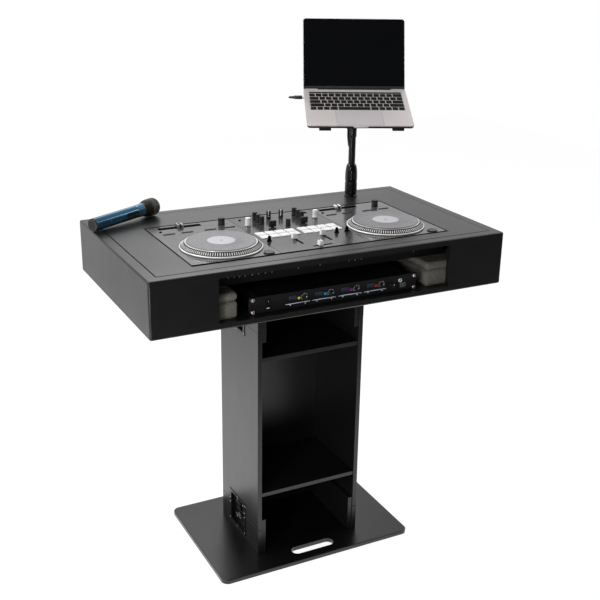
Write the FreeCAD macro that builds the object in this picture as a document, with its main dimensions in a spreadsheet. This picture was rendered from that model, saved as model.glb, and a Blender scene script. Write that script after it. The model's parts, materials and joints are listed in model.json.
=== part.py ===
import FreeCAD, Part
import math
import os
import Sketcher

# A DJ booth: a case on a column and floor plate, with a deck controller set into its top,
# a rack receiver in its front bay, a laptop on a pole and a hand microphone.
# Frame: +X right, +Y away from the operator, +Z up, origin on the floor under the case's centre.

# Driving sizes in millimetres, angles in degrees
SIZES = {
    # Floor plate
    "plate_width": 594.0,
    "plate_depth": 410.0,
    "plate_thickness": 12.0,
    "plate_corner": 20.0,
    "plate_edge_round": 2.0,
    "handle_length": 132.0,
    "handle_width": 34.0,
    "handle_inset": 47.0,
    # Column
    "column_width": 320.0,
    "column_depth": 254.0,
    "column_centre": -14.0,
    "column_board": 13.0,
    "low_joint": 88.0,
    "high_joint": 690.0,
    "joint_gap": 0.6,
    "shelf_thickness": 12.0,
    "shelf_setback": 3.0,
    "upper_shelf_top": 616.0,
    "lower_shelf_top": 205.0,
    "tongue_thickness": 13.0,
    "tongue_reach": 30.0,
    "tongue_setback": 3.0,
    # Twist latches across the column joints
    "latch_inset": 141.0,
    "latch_flange_width": 112.0,
    "latch_stub_height": 67.0,
    "latch_column_height": 37.0,
    "latch_flange": 1.5,
    "latch_tray_width": 94.0,
    "latch_margin": 6.0,
    "latch_tray_depth": 11.0,
    "latch_wall": 2.0,
    "latch_floor": 1.0,
    "latch_fit": 0.3,
    "latch_pivot": 30.0,
    "latch_shaft": 4.0,
    "latch_hub": 9.0,
    "latch_hub_height": 3.5,
    "latch_wing_length": 38.0,
    "latch_wing_width": 6.0,
    "latch_wing_height": 5.5,
    # Case
    "case_width": 1005.0,
    "case_depth": 580.0,
    "case_underside": 783.0,
    "case_height": 145.0,
    "board": 15.0,
    "corner_round": 6.0,
    "edge_round": 4.5,
    "cheek_width": 158.5,
    "rim_width": 28.0,
    "ledge_width": 10.0,
    "rabbet_depth": 8.0,
    "panel_gap": 3.0,
    "panel_far_gap": 0.5,
    "seat_gap": 0.2,
    # Foam risers under the controller
    "foam_spacing": 540.0,
    "foam_width": 130.0,
    "foam_depth": 411.0,
    "foam_inset": 19.0,
    "lower_foam": 45.0,
    "foam_round": 10.0,
    # Rack receiver
    "rack_width": 482.6,
    "unit_height": 43.7,
    "rack_panel": 3.0,
    "rack_inset": 22.0,
    "rack_lift": 1.0,
    "screw_spacing_wide": 465.1,
    "screw_spacing_high": 31.75,
    "screw_hole": 3.4,
    "screw_shank": 2.9,
    "screw_length": 12.0,
    "screw_head": 4.6,
    "screw_head_height": 3.0,
    "cup_washer": 6.6,
    "cup_height": 2.0,
    "rail_width": 24.0,
    "rail_sheet": 2.5,
    "rail_foot": 28.0,
    "rail_hole_fit": 0.1,
    "receiver_width": 432.0,
    "receiver_depth": 210.0,
    "receiver_height": 42.0,
    "channel_pitch": 74.8,
    "first_channel": -90.5,
    "channel_knob_rise": 26.2,
    "channel_knob": 6.5,
    "channel_knob_length": 11.0,
    "phones_knob_place": 166.0,
    "phones_knob_rise": 20.0,
    # Deck controller
    "controller_width": 732.0,
    "controller_depth": 344.0,
    "controller_height": 64.0,
    "controller_inset": 78.0,
    "controller_corner": 6.0,
    "controller_gap": 3.0,
    "deck_plate": 3.0,
    "tray_wall": 2.5,
    "shaft_fit": 0.05,
    "knob_lift": 0.6,
    "knob_shaft": 3.0,
    "shaft_depth": 9.0,
    "knob_taper": 0.86,
    # Platters
    "platter_spacing": 486.6,
    "platter_inset": 112.0,
    "platter_radius": 106.3,
    "platter_lift": 1.2,
    "platter_rim": 3.0,
    "platter_top_radius": 92.5,
    "platter_height": 14.0,
    "platter_shaft": 5.0,
    "platter_shaft_depth": 45.0,
    "record_radius": 88.9,
    "record_thickness": 2.0,
    "record_hole": 3.62,
    "spindle": 3.6,
    "spindle_height": 4.0,
    "motor_radius": 45.0,
    "motor_height": 34.0,
    # Faders
    "fader_slot": 4.0,
    "fader_fit": 0.3,
    "fader_stem": 6.0,
    "fader_stem_depth": 8.0,
    "fader_lift": 0.8,
    "pitch_centre": -34.0,
    "pitch_inset": 21.5,
    "pitch_travel": 100.0,
    "pitch_cap_length": 17.0,
    "pitch_cap_width": 22.0,
    "pitch_cap_height": 9.5,
    "channel_spacing": 84.0,
    "channel_back": -72.0,
    "channel_travel": 45.0,
    "mixer_cap_length": 10.0,
    "mixer_cap_width": 14.0,
    "mixer_cap_height": 13.0,
    "crossfader_inset": 20.0,
    "crossfader_travel": 44.0,
    "crossfader_rest": -8.0,
    # Mixer knobs and paddles
    "equaliser_spacing": 122.0,
    "equaliser_back": 90.0,
    "equaliser_pitch": 22.5,
    "equaliser_radius": 7.5,
    "equaliser_height": 22.0,
    "level_spacing": 206.0,
    "level_back": 88.0,
    "level_radius": 8.0,
    "level_height": 22.0,
    "filter_spacing": 38.0,
    "filter_back": 135.0,
    "filter_radius": 6.5,
    "filter_height": 21.0,
    "browse_back": 50.0,
    "browse_radius": 7.0,
    "browse_height": 18.0,
    "deck_knob_offset": 80.0,
    "deck_knob_back": 130.0,
    "deck_knob_radius": 9.5,
    "deck_knob_height": 18.5,
    "paddle_spacing": 96.0,
    "paddle_back": 48.0,
    "paddle_width": 22.0,
    "paddle_thickness": 7.0,
    "paddle_height": 17.0,
    "paddle_lift": 2.0,
    "paddle_stem_width": 8.0,
    "paddle_stem": 3.0,
    "paddle_slot": 6.5,
    "paddle_pivot": 2.0,
    # Pads and buttons
    "pad_size": 25.5,
    "pad_pitch": 29.0,
    "pad_height": 2.0,
    "pad_back": -42.0,
    "pad_group_gap": 13.0,
    "button_width": 33.0,
    "button_depth": 5.0,
    "button_height": 1.5,
    "button_back": 93.5,
    "first_button": -99.5,
    "second_button": -48.5,
    "third_button": 18.0,
    "fourth_button": 73.0,
    "start_offset": 88.0,
    "start_inset": 14.0,
    "start_radius": 14.0,
    # Laptop pole
    "pole_side_inset": 179.2,
    "pole_rear_inset": 57.6,
    "pole_radius": 10.5,
    "pole_top": 1164.0,
    "flange_radius": 20.0,
    "flange_height": 3.0,
    "grip_radius": 18.5,
    "grip_notch_radius": 17.7,
    "grip_notch_low": 42.0,
    "grip_notch_high": 48.0,
    "grip_shoulder": 88.0,
    "grip_top": 97.0,
    "grip_mouth": 14.0,
    "sleeve_radius": 12.3,
    "sleeve_bottom": 1108.0,
    "sleeve_cap": 4.0,
    "stop_gap": 0.3,
    "tilt_height": 1186.0,
    "lug_width": 12.0,
    "lug_radius": 10.0,
    "tilt_pin": 4.0,
    "clamp_height": 1109.0,
    "clamp_length": 62.0,
    "clamp_width": 10.0,
    "clamp_reach": 4.0,
    "clamp_bite": 1.2,
    "yaw_angle": -23.5,
    "tilt_angle": 20.9,
    # Laptop tray
    "tray_rise": 20.0,
    "tray_sheet": 4.0,
    "arm_spacing": 210.0,
    "arm_shift": 10.0,
    "arm_width": 34.0,
    "arm_back": 45.0,
    "bridge_depth": 40.0,
    "hook_height": 7.0,
    "ear_thickness": 4.0,
    "ear_gap": 0.3,
    "ear_depth": 24.0,
    "ear_drop": 9.0,
    # Laptop
    "laptop_width": 307.0,
    "laptop_depth": 212.0,
    "laptop_base": 10.5,
    "laptop_corner": 9.0,
    "laptop_underside": 5.5,
    "laptop_shift": 7.5,
    "hinge_reach": 73.5,
    "hinge_inset": 1.5,
    "hinge_sink": 1.1,
    "hinge_radius": 3.0,
    "hinge_length": 220.0,
    "hinge_fit": 0.6,
    "lid_thickness": 4.4,
    "lid_offset": 2.2,
    "lid_length": 212.0,
    "lid_start": 0.8,
    "lid_open": 129.4,
    "key_well_width": 279.0,
    "key_well_depth": 108.0,
    "key_well_inset": 18.0,
    "key_well_sink": 1.2,
    "key_pitch": 19.2,
    "key_gap": 3.0,
    "key_height": 1.4,
    "rear_key_depth": 7.0,
    "stick_length": 46.0,
    "stick_width": 11.0,
    "stick_thickness": 9.0,
    "stick_drop": 2.0,
    "stick_inset": 34.0,
    # Microphone
    "microphone_side_inset": 0.5,
    "microphone_rear_inset": 131.0,
    "microphone_yaw": 25.6,
    "tail_radius": 17.8,
    "tail_length": 14.0,
    "barrel_radius": 17.2,
    "barrel_length": 142.0,
    "collar_radius": 18.5,
    "collar_length": 23.0,
    "head_radius": 24.5,
    "head_neck": 18.0,
    "head_flare": 15.0,
    "head_length": 57.0,
    "head_round": 16.0,
    "microphone_lift": 0.3,
}

# The laptop's keys: each row's widths in key pitches, from the front row to the shallow rear one
KEY_ROWS = (
    (1, 1, 1, 1.25, 5, 1.25, 1, 1, 1, 1),
    (2.25, *[1] * 10, 2.25),
    (1.75, *[1] * 11, 1.75),
    (1.5, *[1] * 12, 1),
    (*[1] * 13, 1.5),
    (*[1] * 13, 1.5),
)
PAD_ROWS = 2
PADS_PER_ROW = 4
CHANNELS = 4

# How near an edge lies to the plane that picks it out, in millimetres
EDGE_TOLERANCE = 1e-6

SIDES = ("left", "right")

doc = FreeCAD.newDocument("dj_booth")
sheet = doc.addObject("Spreadsheet::Sheet", "sizes")
for row, (name, size) in enumerate(SIZES.items(), start=1):
    sheet.set(f"A{row}", name)
    sheet.set(f"B{row}", str(size))
    sheet.setAlias(f"B{row}", name)
doc.recompute()

# Places worked out from the sizes
case_half = "(sizes.case_width / 2)"
case_front = "(-sizes.case_depth / 2)"
case_rear = "(sizes.case_depth / 2)"
case_floor = "(sizes.case_underside + sizes.board)"
case_top = "(sizes.case_underside + sizes.case_height)"
lid_underside = f"({case_top} - sizes.board)"
inner_half = f"({case_half} - sizes.board)"
column_half = "(sizes.column_width / 2)"
column_inner = f"({column_half} - sizes.column_board)"
column_front = "(sizes.column_centre - sizes.column_depth / 2)"
column_rear = "(sizes.column_centre + sizes.column_depth / 2)"
column_inner_rear = f"({column_rear} - sizes.column_board)"
column_low = "(sizes.low_joint + sizes.joint_gap)"
column_high = "(sizes.high_joint - sizes.joint_gap)"
plate_front = "(sizes.column_centre - sizes.plate_depth / 2)"
plate_rear = "(sizes.column_centre + sizes.plate_depth / 2)"
latch_middle = f"({column_front} + sizes.latch_inset)"
foam_front = f"({case_front} + sizes.foam_inset)"
foam_seam = f"({case_floor} + sizes.lower_foam)"
controller_base = f"({case_top} - sizes.controller_height)"
controller_left = "(-sizes.controller_width / 2)"
controller_front = f"({case_front} + sizes.controller_inset)"
controller_rear = f"({controller_front} + sizes.controller_depth)"
controller_middle = f"({controller_front} + sizes.controller_depth / 2)"
platter_y = f"({controller_front} + sizes.platter_inset)"
pitch_y = f"({controller_rear} - sizes.pitch_inset)"
channel_y = f"({controller_middle} + sizes.channel_back)"
crossfader_y = f"({controller_front} + sizes.crossfader_inset)"
paddle_y = f"({controller_middle} + sizes.paddle_back)"
button_y = f"({controller_middle} + sizes.button_back)"
pole_x = f"({case_half} - sizes.pole_side_inset)"
pole_y = f"({case_rear} - sizes.pole_rear_inset)"
plate_under = f"({case_top} - sizes.deck_plate)"
rack_front = f"({case_front} + sizes.rack_inset)"
rack_back = f"({rack_front} + sizes.rack_panel)"
rack_bottom = f"({case_floor} + sizes.rack_lift)"
rack_middle = f"({rack_bottom} + sizes.unit_height / 2)"
shaft_bottom = f"({case_top} - sizes.shaft_depth)"


def value(text):
    """The number that an expression gives."""
    return float(sheet.evalExpression(text))


def bind(thing, cells):
    """Binds each named property of a thing to its expression."""
    for place, text in cells.items():
        thing.setExpression(place, text)


def place(thing, x, y, z):
    """Binds a thing's position."""
    bind(thing, {"Placement.Base.x": x, "Placement.Base.y": y, "Placement.Base.z": z})


def turn(thing, axis, angle):
    """Turns a thing about an axis by an angle expression."""
    thing.Placement = FreeCAD.Placement(thing.Placement.Base, FreeCAD.Rotation(axis, 1.0))
    bind(thing, {"Placement.Rotation.Angle": angle})


def width_of(span):
    """The expression for the length of a (low, high) span."""
    return f"({span[1]} - {span[0]})"


def box(name, xs, ys, zs):
    """A plain block between three (low, high) spans."""
    solid = doc.addObject("Part::Box", name)
    bind(solid, {"Length": width_of(xs), "Width": width_of(ys), "Height": width_of(zs)})
    place(solid, xs[0], ys[0], zs[0])
    return solid


def cylinder(name, radius, height):
    """A cylinder that stands on its own origin."""
    solid = doc.addObject("Part::Cylinder", name)
    bind(solid, {"Radius": radius, "Height": height})
    return solid


def group(name, members):
    """Separate solids kept together."""
    gathered = doc.addObject("Part::Compound", name)
    gathered.Links = members
    return gathered


def cut(name, base, tool):
    """One shape with another taken out of it."""
    result = doc.addObject("Part::Cut", name)
    result.Base = base
    result.Tool = tool
    return result


def fuse(name, members):
    """Several shapes joined into one."""
    result = doc.addObject("Part::MultiFuse", name)
    result.Shapes = members
    result.Refine = True
    return result


def sketch_on(body, role="XY_Plane", height="0"):
    """A sketch on one of a body's origin planes, lifted along the plane's normal."""
    sketch = body.newObject("Sketcher::SketchObject", "sketch")
    plane = next(feature for feature in body.Origin.OriginFeatures if feature.Role == role)
    sketch.AttachmentSupport = (plane, [""])
    sketch.MapMode = "FlatFace"
    bind(sketch, {"AttachmentOffset.Base.z": height})
    return sketch


def hold(sketch, geometry, point, x, y):
    """Holds a point of a sketch at an expression's distance from the sketch's origin."""
    for kind, axis, text in (("DistanceX", -2, x), ("DistanceY", -1, y)):
        if text == "0":
            sketch.addConstraint(Sketcher.Constraint("PointOnObject", geometry, point, axis))
        else:
            limit = Sketcher.Constraint(kind, -1, 1, geometry, point, value(text))
            number = sketch.addConstraint(limit)
            bind(sketch, {f"Constraints[{number}]": text})


def polygon(sketch, corners):
    """A closed outline with every corner held by its two expressions."""
    points = [FreeCAD.Vector(value(x), value(y), 0) for x, y in corners]
    following = points[1:] + points[:1]
    lines = [sketch.addGeometry(Part.LineSegment(*ends)) for ends in zip(points, following)]
    for line, after in zip(lines, lines[1:] + lines[:1]):
        sketch.addConstraint(Sketcher.Constraint("Coincident", line, 2, after, 1))
    for line, (x, y) in zip(lines, corners):
        hold(sketch, line, 1, x, y)


def rectangle(sketch, xs, ys):
    """A rectangle between two (low, high) spans."""
    polygon(sketch, [(xs[0], ys[0]), (xs[1], ys[0]), (xs[1], ys[1]), (xs[0], ys[1])])


def circle(sketch, x, y, radius):
    """A circle with its centre and radius held."""
    centre = FreeCAD.Vector(value(x), value(y), 0)
    ring = sketch.addGeometry(Part.Circle(centre, FreeCAD.Vector(0, 0, 1), value(radius)))
    hold(sketch, ring, 3, x, y)
    number = sketch.addConstraint(Sketcher.Constraint("Radius", ring, value(radius)))
    bind(sketch, {f"Constraints[{number}]": radius})


def stadium(sketch, x, y, length, width):
    """A slot with round ends, along the sketch's X."""
    radius = f"({width} / 2)"
    reach = f"({length} / 2 - {radius})"
    middle = FreeCAD.Vector(value(x), value(y), 0)
    along = FreeCAD.Vector(value(reach), 0, 0)
    across = FreeCAD.Vector(0, value(radius), 0)
    normal = FreeCAD.Vector(0, 0, 1)
    quarter = math.pi / 2
    right_circle = Part.Circle(middle + along, normal, value(radius))
    left_circle = Part.Circle(middle - along, normal, value(radius))
    low = sketch.addGeometry(Part.LineSegment(middle - along - across, middle + along - across))
    right = sketch.addGeometry(Part.ArcOfCircle(right_circle, -quarter, quarter))
    high = sketch.addGeometry(Part.LineSegment(middle + along + across, middle - along + across))
    left = sketch.addGeometry(Part.ArcOfCircle(left_circle, quarter, 3 * quarter))
    for ends in ((low, 2, right, 1), (right, 2, high, 1), (high, 2, left, 1), (left, 2, low, 1)):
        sketch.addConstraint(Sketcher.Constraint("Tangent", *ends))
    sketch.addConstraint(Sketcher.Constraint("Equal", right, left))
    hold(sketch, right, 3, f"({x} + {reach})", y)
    hold(sketch, left, 3, f"({x} - {reach})", y)
    number = sketch.addConstraint(Sketcher.Constraint("Radius", right, value(radius)))
    bind(sketch, {f"Constraints[{number}]": radius})


def pad(body, sketch, height):
    """Raises a sketch into a solid."""
    feature = body.newObject("PartDesign::Pad", "pad")
    feature.Profile = sketch
    bind(feature, {"Length": height})
    body.Tip = feature
    return feature


def pocket(body, sketch):
    """Cuts a sketch upwards through the rest of the body."""
    doc.recompute()
    before = body.Shape.Volume
    feature = body.newObject("PartDesign::Pocket", "pocket")
    feature.Profile = sketch
    feature.Type = "ThroughAll"
    feature.Reversed = True
    body.Tip = feature
    doc.recompute()
    if body.Shape.Volume >= before:
        raise RuntimeError(f"{body.Label}: a pocket took nothing away")


def round_off(body, radius, wanted):
    """Rounds the edges of a body that a test picks."""
    doc.recompute()
    base = body.Tip
    edges = [f"Edge{n}" for n, edge in enumerate(base.Shape.Edges, start=1) if wanted(edge.BoundBox)]
    feature = body.newObject("PartDesign::Fillet", "round")
    feature.Base = (base, edges)
    bind(feature, {"Radius": radius})
    body.Tip = feature


def is_upright(edge):
    """Whether an edge's box is a vertical line."""
    return edge.XLength < EDGE_TOLERANCE and edge.YLength < EDGE_TOLERANCE


def slab(name, xs, ys, zs):
    """A body padded from a rectangle, with its own origin at its low corner."""
    body = doc.addObject("PartDesign::Body", name)
    sketch = sketch_on(body)
    rectangle(sketch, ("0", width_of(xs)), ("0", width_of(ys)))
    pad(body, sketch, width_of(zs))
    place(body, xs[0], ys[0], zs[0])
    return body


def turned(name, profile):
    """A body turned about its own Z axis from (radius, height) corners."""
    body = doc.addObject("PartDesign::Body", name)
    sketch = sketch_on(body, "XZ_Plane")
    polygon(sketch, profile)
    feature = body.newObject("PartDesign::Revolution", "turning")
    feature.Profile = sketch
    feature.ReferenceAxis = (sketch, ["V_Axis"])
    feature.Angle = 360.0
    body.Tip = feature
    return body


def crosswise(name, radius, length):
    """A cylinder along X about the middle."""
    rod = cylinder(name, radius, length)
    turn(rod, FreeCAD.Vector(0, 1, 0), "90")
    place(rod, f"(-{length} / 2)", "0", "0")
    return rod


def on_side(side, near, far):
    """The span on one side of the middle between two distances from it."""
    return (f"-{far}", f"-{near}") if side == "left" else (near, far)


def about(middle, size):
    """The span of a size about its middle."""
    return (f"({middle} - {size} / 2)", f"({middle} + {size} / 2)")


def signed(side, distance):
    """A distance to the left or the right of the middle."""
    return f"(-{distance})" if side == "left" else distance


nodes = []


def keep(thing):
    """Adds a finished sub-part, named by its label, to the assembly."""
    nodes.append(thing)
    return thing


# Floor plate

def base_plate():
    half = "(sizes.plate_width / 2)"
    plate = slab("base_plate", (f"-{half}", half), (plate_front, plate_rear), ("0", "sizes.plate_thickness"))
    round_off(plate, "sizes.plate_corner", is_upright)
    top = value("sizes.plate_thickness") - EDGE_TOLERANCE
    round_off(plate, "sizes.plate_edge_round", lambda edge: edge.ZMin > top)
    sketch = sketch_on(plate)
    stadium(sketch, half, "sizes.handle_inset", "sizes.handle_length", "sizes.handle_width")
    pocket(plate, sketch)
    keep(plate)


# Column: joints at the low and high seams, each with the span of its open gap
SEAMS = {
    "lower": ("sizes.low_joint", column_low),
    "upper": (column_high, "sizes.high_joint"),
}


def flange_height(level, above):
    """The height of a latch's half: the one on the stub, which holds the knob, is the taller."""
    on_stub = above == (level == "upper")
    return "sizes.latch_stub_height" if on_stub else "sizes.latch_column_height"


def tray_height(level, above):
    """The height of the tray inside a latch's half."""
    return f"({flange_height(level, above)} - sizes.latch_margin)"


def latch_notch(side, level):
    """The hole in the boards that a pair of latch trays sits in."""
    low, high = SEAMS[level]
    width = "(sizes.latch_tray_width + 2 * sizes.latch_fit)"
    bottom = f"({low} - {tray_height(level, False)} - sizes.latch_fit)"
    top = f"({high} + {tray_height(level, True)} + sizes.latch_fit)"
    return box(f"notch_{level}_{side}", on_side(side, column_inner, column_half),
               about(latch_middle, width), (bottom, top))


def column():
    depth = (column_front, column_rear)
    inside = (f"-{column_inner}", column_inner)
    rear = (column_inner_rear, column_rear)
    foot = ("sizes.plate_thickness", "sizes.low_joint")
    neck = ("sizes.high_joint", "sizes.case_underside")
    middle = (column_low, column_high)
    tongue_inner = f"({column_inner} - sizes.tongue_thickness)"
    tongue_depth = (f"({column_front} + sizes.tongue_setback)", column_inner_rear)
    sides = []
    stubs = [box("foot_rear", inside, rear, foot), box("neck_rear", inside, rear, neck)]
    tongues = []
    for side in SIDES:
        wall = on_side(side, column_inner, column_half)
        lower = latch_notch(side, "lower")
        upper = latch_notch(side, "upper")
        both = group(f"notches_{side}", [lower, upper])
        sides.append(cut(f"column_side_{side}", box(f"side_board_{side}", wall, depth, middle), both))
        stubs.append(cut(f"foot_side_{side}", box(f"foot_board_{side}", wall, depth, foot), lower))
        stubs.append(cut(f"neck_side_{side}", box(f"neck_board_{side}", wall, depth, neck), upper))
        strip = on_side(side, tongue_inner, column_inner)
        foot_top = "(sizes.low_joint + sizes.tongue_reach)"
        neck_bottom = "(sizes.high_joint - sizes.tongue_reach)"
        tongues.append(box(f"foot_tongue_{side}", strip, tongue_depth, ("sizes.plate_thickness", foot_top)))
        tongues.append(box(f"neck_tongue_{side}", strip, tongue_depth, (neck_bottom, "sizes.case_underside")))
    keep(group("stub_walls", stubs))
    keep(group("joint_tongues", tongues))
    keep(group("column_sides", sides))
    keep(box("column_back", inside, rear, middle))
    shelf_depth = (f"({column_front} + sizes.shelf_setback)", column_inner_rear)
    shelves = []
    for level in ("upper", "lower"):
        top = f"sizes.{level}_shelf_top"
        shelves.append(box(f"{level}_shelf", inside, shelf_depth, (f"({top} - sizes.shelf_thickness)", top)))
    keep(group("column_shelves", shelves))


# Twist latches: a tray on each side of a joint, and a winged knob in the tray on the foot or the neck

def latch_pivot(level):
    """The height of a latch knob's axis, in the taller tray."""
    if level == "lower":
        return f"({SEAMS[level][0]} - sizes.latch_pivot)"
    return f"({SEAMS[level][1]} + sizes.latch_pivot)"


def latch_dish(side, level, above):
    """One tray, open towards the joint, with its flange on the board's outer face."""
    low, high = SEAMS[level]
    name = f"{level}_{side}_{'above' if above else 'below'}"

    def away(size):
        return (high, f"({high} + {size})") if above else (f"({low} - {size})", low)

    recess_floor = f"({column_half} - sizes.latch_tray_depth + sizes.latch_floor)"
    flange_face = f"({column_half} + sizes.latch_flange)"
    past_flange = f"({flange_face} + sizes.latch_flange)"
    tray_back = f"({column_half} - sizes.latch_tray_depth)"
    flange = box(f"flange_{name}", on_side(side, column_half, flange_face),
                 about(latch_middle, "sizes.latch_flange_width"), away(flange_height(level, above)))
    tray = box(f"tray_{name}", on_side(side, tray_back, column_half),
               about(latch_middle, "sizes.latch_tray_width"), away(tray_height(level, above)))
    recess = box(f"recess_{name}", on_side(side, recess_floor, past_flange),
                 about(latch_middle, "(sizes.latch_tray_width - 2 * sizes.latch_wall)"),
                 away(f"({tray_height(level, above)} - sizes.latch_wall)"))
    hollows = [recess]
    holds_knob = above == (level == "upper")
    if holds_knob:
        length = "(2 * sizes.latch_tray_depth)"
        bore = cylinder(f"bore_{name}", "(sizes.latch_shaft + sizes.shaft_fit)", length)
        turn(bore, FreeCAD.Vector(0, 1, 0), "90")
        start = f"({column_half} - {length})"
        place(bore, on_side(side, start, column_half)[0], latch_middle, latch_pivot(level))
        hollows.append(bore)
    plate = fuse(f"plate_{name}", [flange, tray])
    return cut(f"dish_{name}", plate, fuse(f"hollow_{name}", hollows) if holds_knob else recess)


def latch_knob(side, level):
    """A winged knob on a shaft through its tray's floor."""
    hub_low = "(sizes.latch_floor + sizes.latch_fit)"
    hub_high = f"({hub_low} + sizes.latch_hub_height)"
    knob = turned(f"latch_knob_{level}_{side}", [
        ("0", "0"),
        ("sizes.latch_shaft", "0"),
        ("sizes.latch_shaft", hub_low),
        ("sizes.latch_hub", hub_low),
        ("sizes.latch_hub", hub_high),
        ("0", hub_high),
    ])
    wing = sketch_on(knob, "XY_Plane", hub_high)
    rectangle(wing, about("0", "sizes.latch_wing_width"), about("0", "sizes.latch_wing_length"))
    pad(knob, wing, "sizes.latch_wing_height")
    turn(knob, FreeCAD.Vector(0, 1, 0), "-90" if side == "left" else "90")
    tray_back = f"({column_half} - sizes.latch_tray_depth)"
    place(knob, signed(side, tray_back), latch_middle, latch_pivot(level))
    return knob


def latches():
    dishes = []
    for side in SIDES:
        for level in SEAMS:
            dishes += [latch_dish(side, level, above) for above in (False, True)]
    keep(group("latch_dishes", dishes))
    for side in SIDES:
        for level in SEAMS:
            keep(latch_knob(side, level))


# Case

def case_boards():
    width = (f"-{case_half}", case_half)
    depth = (case_front, case_rear)
    walls = (case_floor, lid_underside)
    bottom = slab("case_bottom", width, depth, ("sizes.case_underside", case_floor))
    round_off(bottom, "sizes.corner_round", is_upright)
    round_off(bottom, "sizes.edge_round", lambda edge: edge.ZMax < EDGE_TOLERANCE)
    keep(bottom)
    sides = []
    cheeks = []
    cheek_depth = (case_front, f"({case_front} + sizes.board)")
    for side in SIDES:
        board = slab(f"case_side_{side}", on_side(side, inner_half, case_half), depth, walls)
        outer = 0.0 if side == "left" else value("sizes.board")
        round_off(board, "sizes.corner_round",
                  lambda edge: is_upright(edge) and abs(edge.XMin - outer) < EDGE_TOLERANCE)
        sides.append(board)
        cheek_width = on_side(side, f"({inner_half} - sizes.cheek_width)", inner_half)
        cheeks.append(box(f"cheek_{side}", cheek_width, cheek_depth, walls))
    keep(group("case_sides", sides))
    keep(group("front_cheeks", cheeks))
    rear = (f"({case_rear} - sizes.board)", case_rear)
    keep(box("case_back", (f"-{inner_half}", inner_half), rear, walls))


def inset(margin):
    """Local spans that leave a margin inside the case's outline."""
    return (margin, f"(sizes.case_width - {margin})"), (margin, f"(sizes.case_depth - {margin})")


def top_frame():
    """The rim round the top, with a rabbet that the panel drops into."""
    width = (f"-{case_half}", case_half)
    frame = slab("top_frame", width, (case_front, case_rear), (lid_underside, case_top))
    round_off(frame, "sizes.corner_round", is_upright)
    top = value("sizes.board") - EDGE_TOLERANCE
    round_off(frame, "sizes.edge_round", lambda edge: edge.ZMin > top)
    opening = sketch_on(frame)
    rectangle(opening, *inset("(sizes.rim_width + sizes.ledge_width)"))
    pocket(frame, opening)
    rabbet = sketch_on(frame, "XY_Plane", "(sizes.board - sizes.rabbet_depth)")
    rectangle(rabbet, *inset("sizes.rim_width"))
    pocket(frame, rabbet)
    keep(frame)


def top_panel():
    """The lift-out panel, lipped to sit in the rabbet, pushed to its right rear corner."""
    near_margin = "(sizes.rim_width + sizes.ledge_width + sizes.panel_gap)"
    far_margin = "(sizes.rim_width + sizes.ledge_width + sizes.panel_far_gap)"
    left = f"({near_margin} - {case_half})"
    right = f"({case_half} - {far_margin})"
    front = f"({case_front} + {near_margin})"
    rear = f"({case_rear} - {far_margin})"
    panel = slab("top_panel", (left, right), (front, rear), (lid_underside, case_top))
    lip = sketch_on(panel, "XY_Plane", "(sizes.board - sizes.rabbet_depth + sizes.seat_gap)")
    overhang = "(-sizes.ledge_width)"
    lip_right = f"({right} - {left} + sizes.ledge_width)"
    lip_rear = f"({rear} - {front} + sizes.ledge_width)"
    rectangle(lip, (overhang, lip_right), (overhang, lip_rear))
    pad(panel, lip, "(sizes.rabbet_depth - sizes.seat_gap)")
    opening = sketch_on(panel)
    rectangle(opening,
              (f"({controller_left} - sizes.controller_gap - {left})",
               f"(sizes.controller_width / 2 + sizes.controller_gap - {left})"),
              (f"({controller_front} - sizes.controller_gap - {front})",
               f"({controller_rear} + sizes.controller_gap - {front})"))
    pocket(panel, opening)
    last = value(width_of((left, right))) - EDGE_TOLERANCE
    round_off(panel, "(sizes.controller_corner + sizes.controller_gap)",
              lambda edge: is_upright(edge) and EDGE_TOLERANCE < edge.XMin < last)
    keep(panel)


def foam_risers():
    """Two stacked foam blocks under each end of the controller."""
    near = "(sizes.foam_spacing / 2)"
    far = f"({near} + sizes.foam_width)"
    depth = (foam_front, f"({foam_front} + sizes.foam_depth)")
    blocks = []
    for side in SIDES:
        for layer, heights in (("lower", (case_floor, foam_seam)), ("upper", (foam_seam, controller_base))):
            block = slab(f"foam_{layer}_{side}", on_side(side, near, far), depth, heights)
            round_off(block, "sizes.foam_round", is_upright)
            blocks.append(block)
    keep(group("foam_risers", blocks))


# Rack receiver

def facing_operator(solid, x, y, z):
    """Turns a solid's Z axis towards the operator and places it."""
    turn(solid, FreeCAD.Vector(1, 0, 0), "90")
    place(solid, x, y, z)
    return solid


def screw_places():
    """The four rack screws: a corner, and the expressions for their X and Z."""
    low, high = about(rack_middle, "sizes.screw_spacing_high")
    for side in SIDES:
        x = signed(side, "(sizes.screw_spacing_wide / 2)")
        yield f"{side}_low", x, low
        yield f"{side}_high", x, high


def screw_bores(name, radius):
    """Four bores on the rack screws' axes, long enough for the panel and the rails."""
    bores = []
    for corner, x, z in screw_places():
        bore = cylinder(f"{name}_{corner}", radius, "(2 * sizes.screw_length)")
        bores.append(facing_operator(bore, x, f"({rack_front} + sizes.screw_length)", z))
    return group(name, bores)


def rack_screw(corner, x, z):
    """A pan-head screw with its cup washer."""
    shank = "sizes.screw_length"
    cup_top = f"({shank} + sizes.cup_height)"
    head_top = f"({cup_top} + sizes.screw_head_height)"
    screw = turned(f"rack_screw_{corner}", [
        ("0", "0"),
        ("sizes.screw_shank", "0"),
        ("sizes.screw_shank", shank),
        ("sizes.cup_washer", shank),
        ("sizes.screw_head", cup_top),
        ("(sizes.screw_head / 2)", head_top),
        ("0", head_top),
    ])
    return facing_operator(screw, x, f"({rack_front} + sizes.screw_length)", z)


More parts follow.
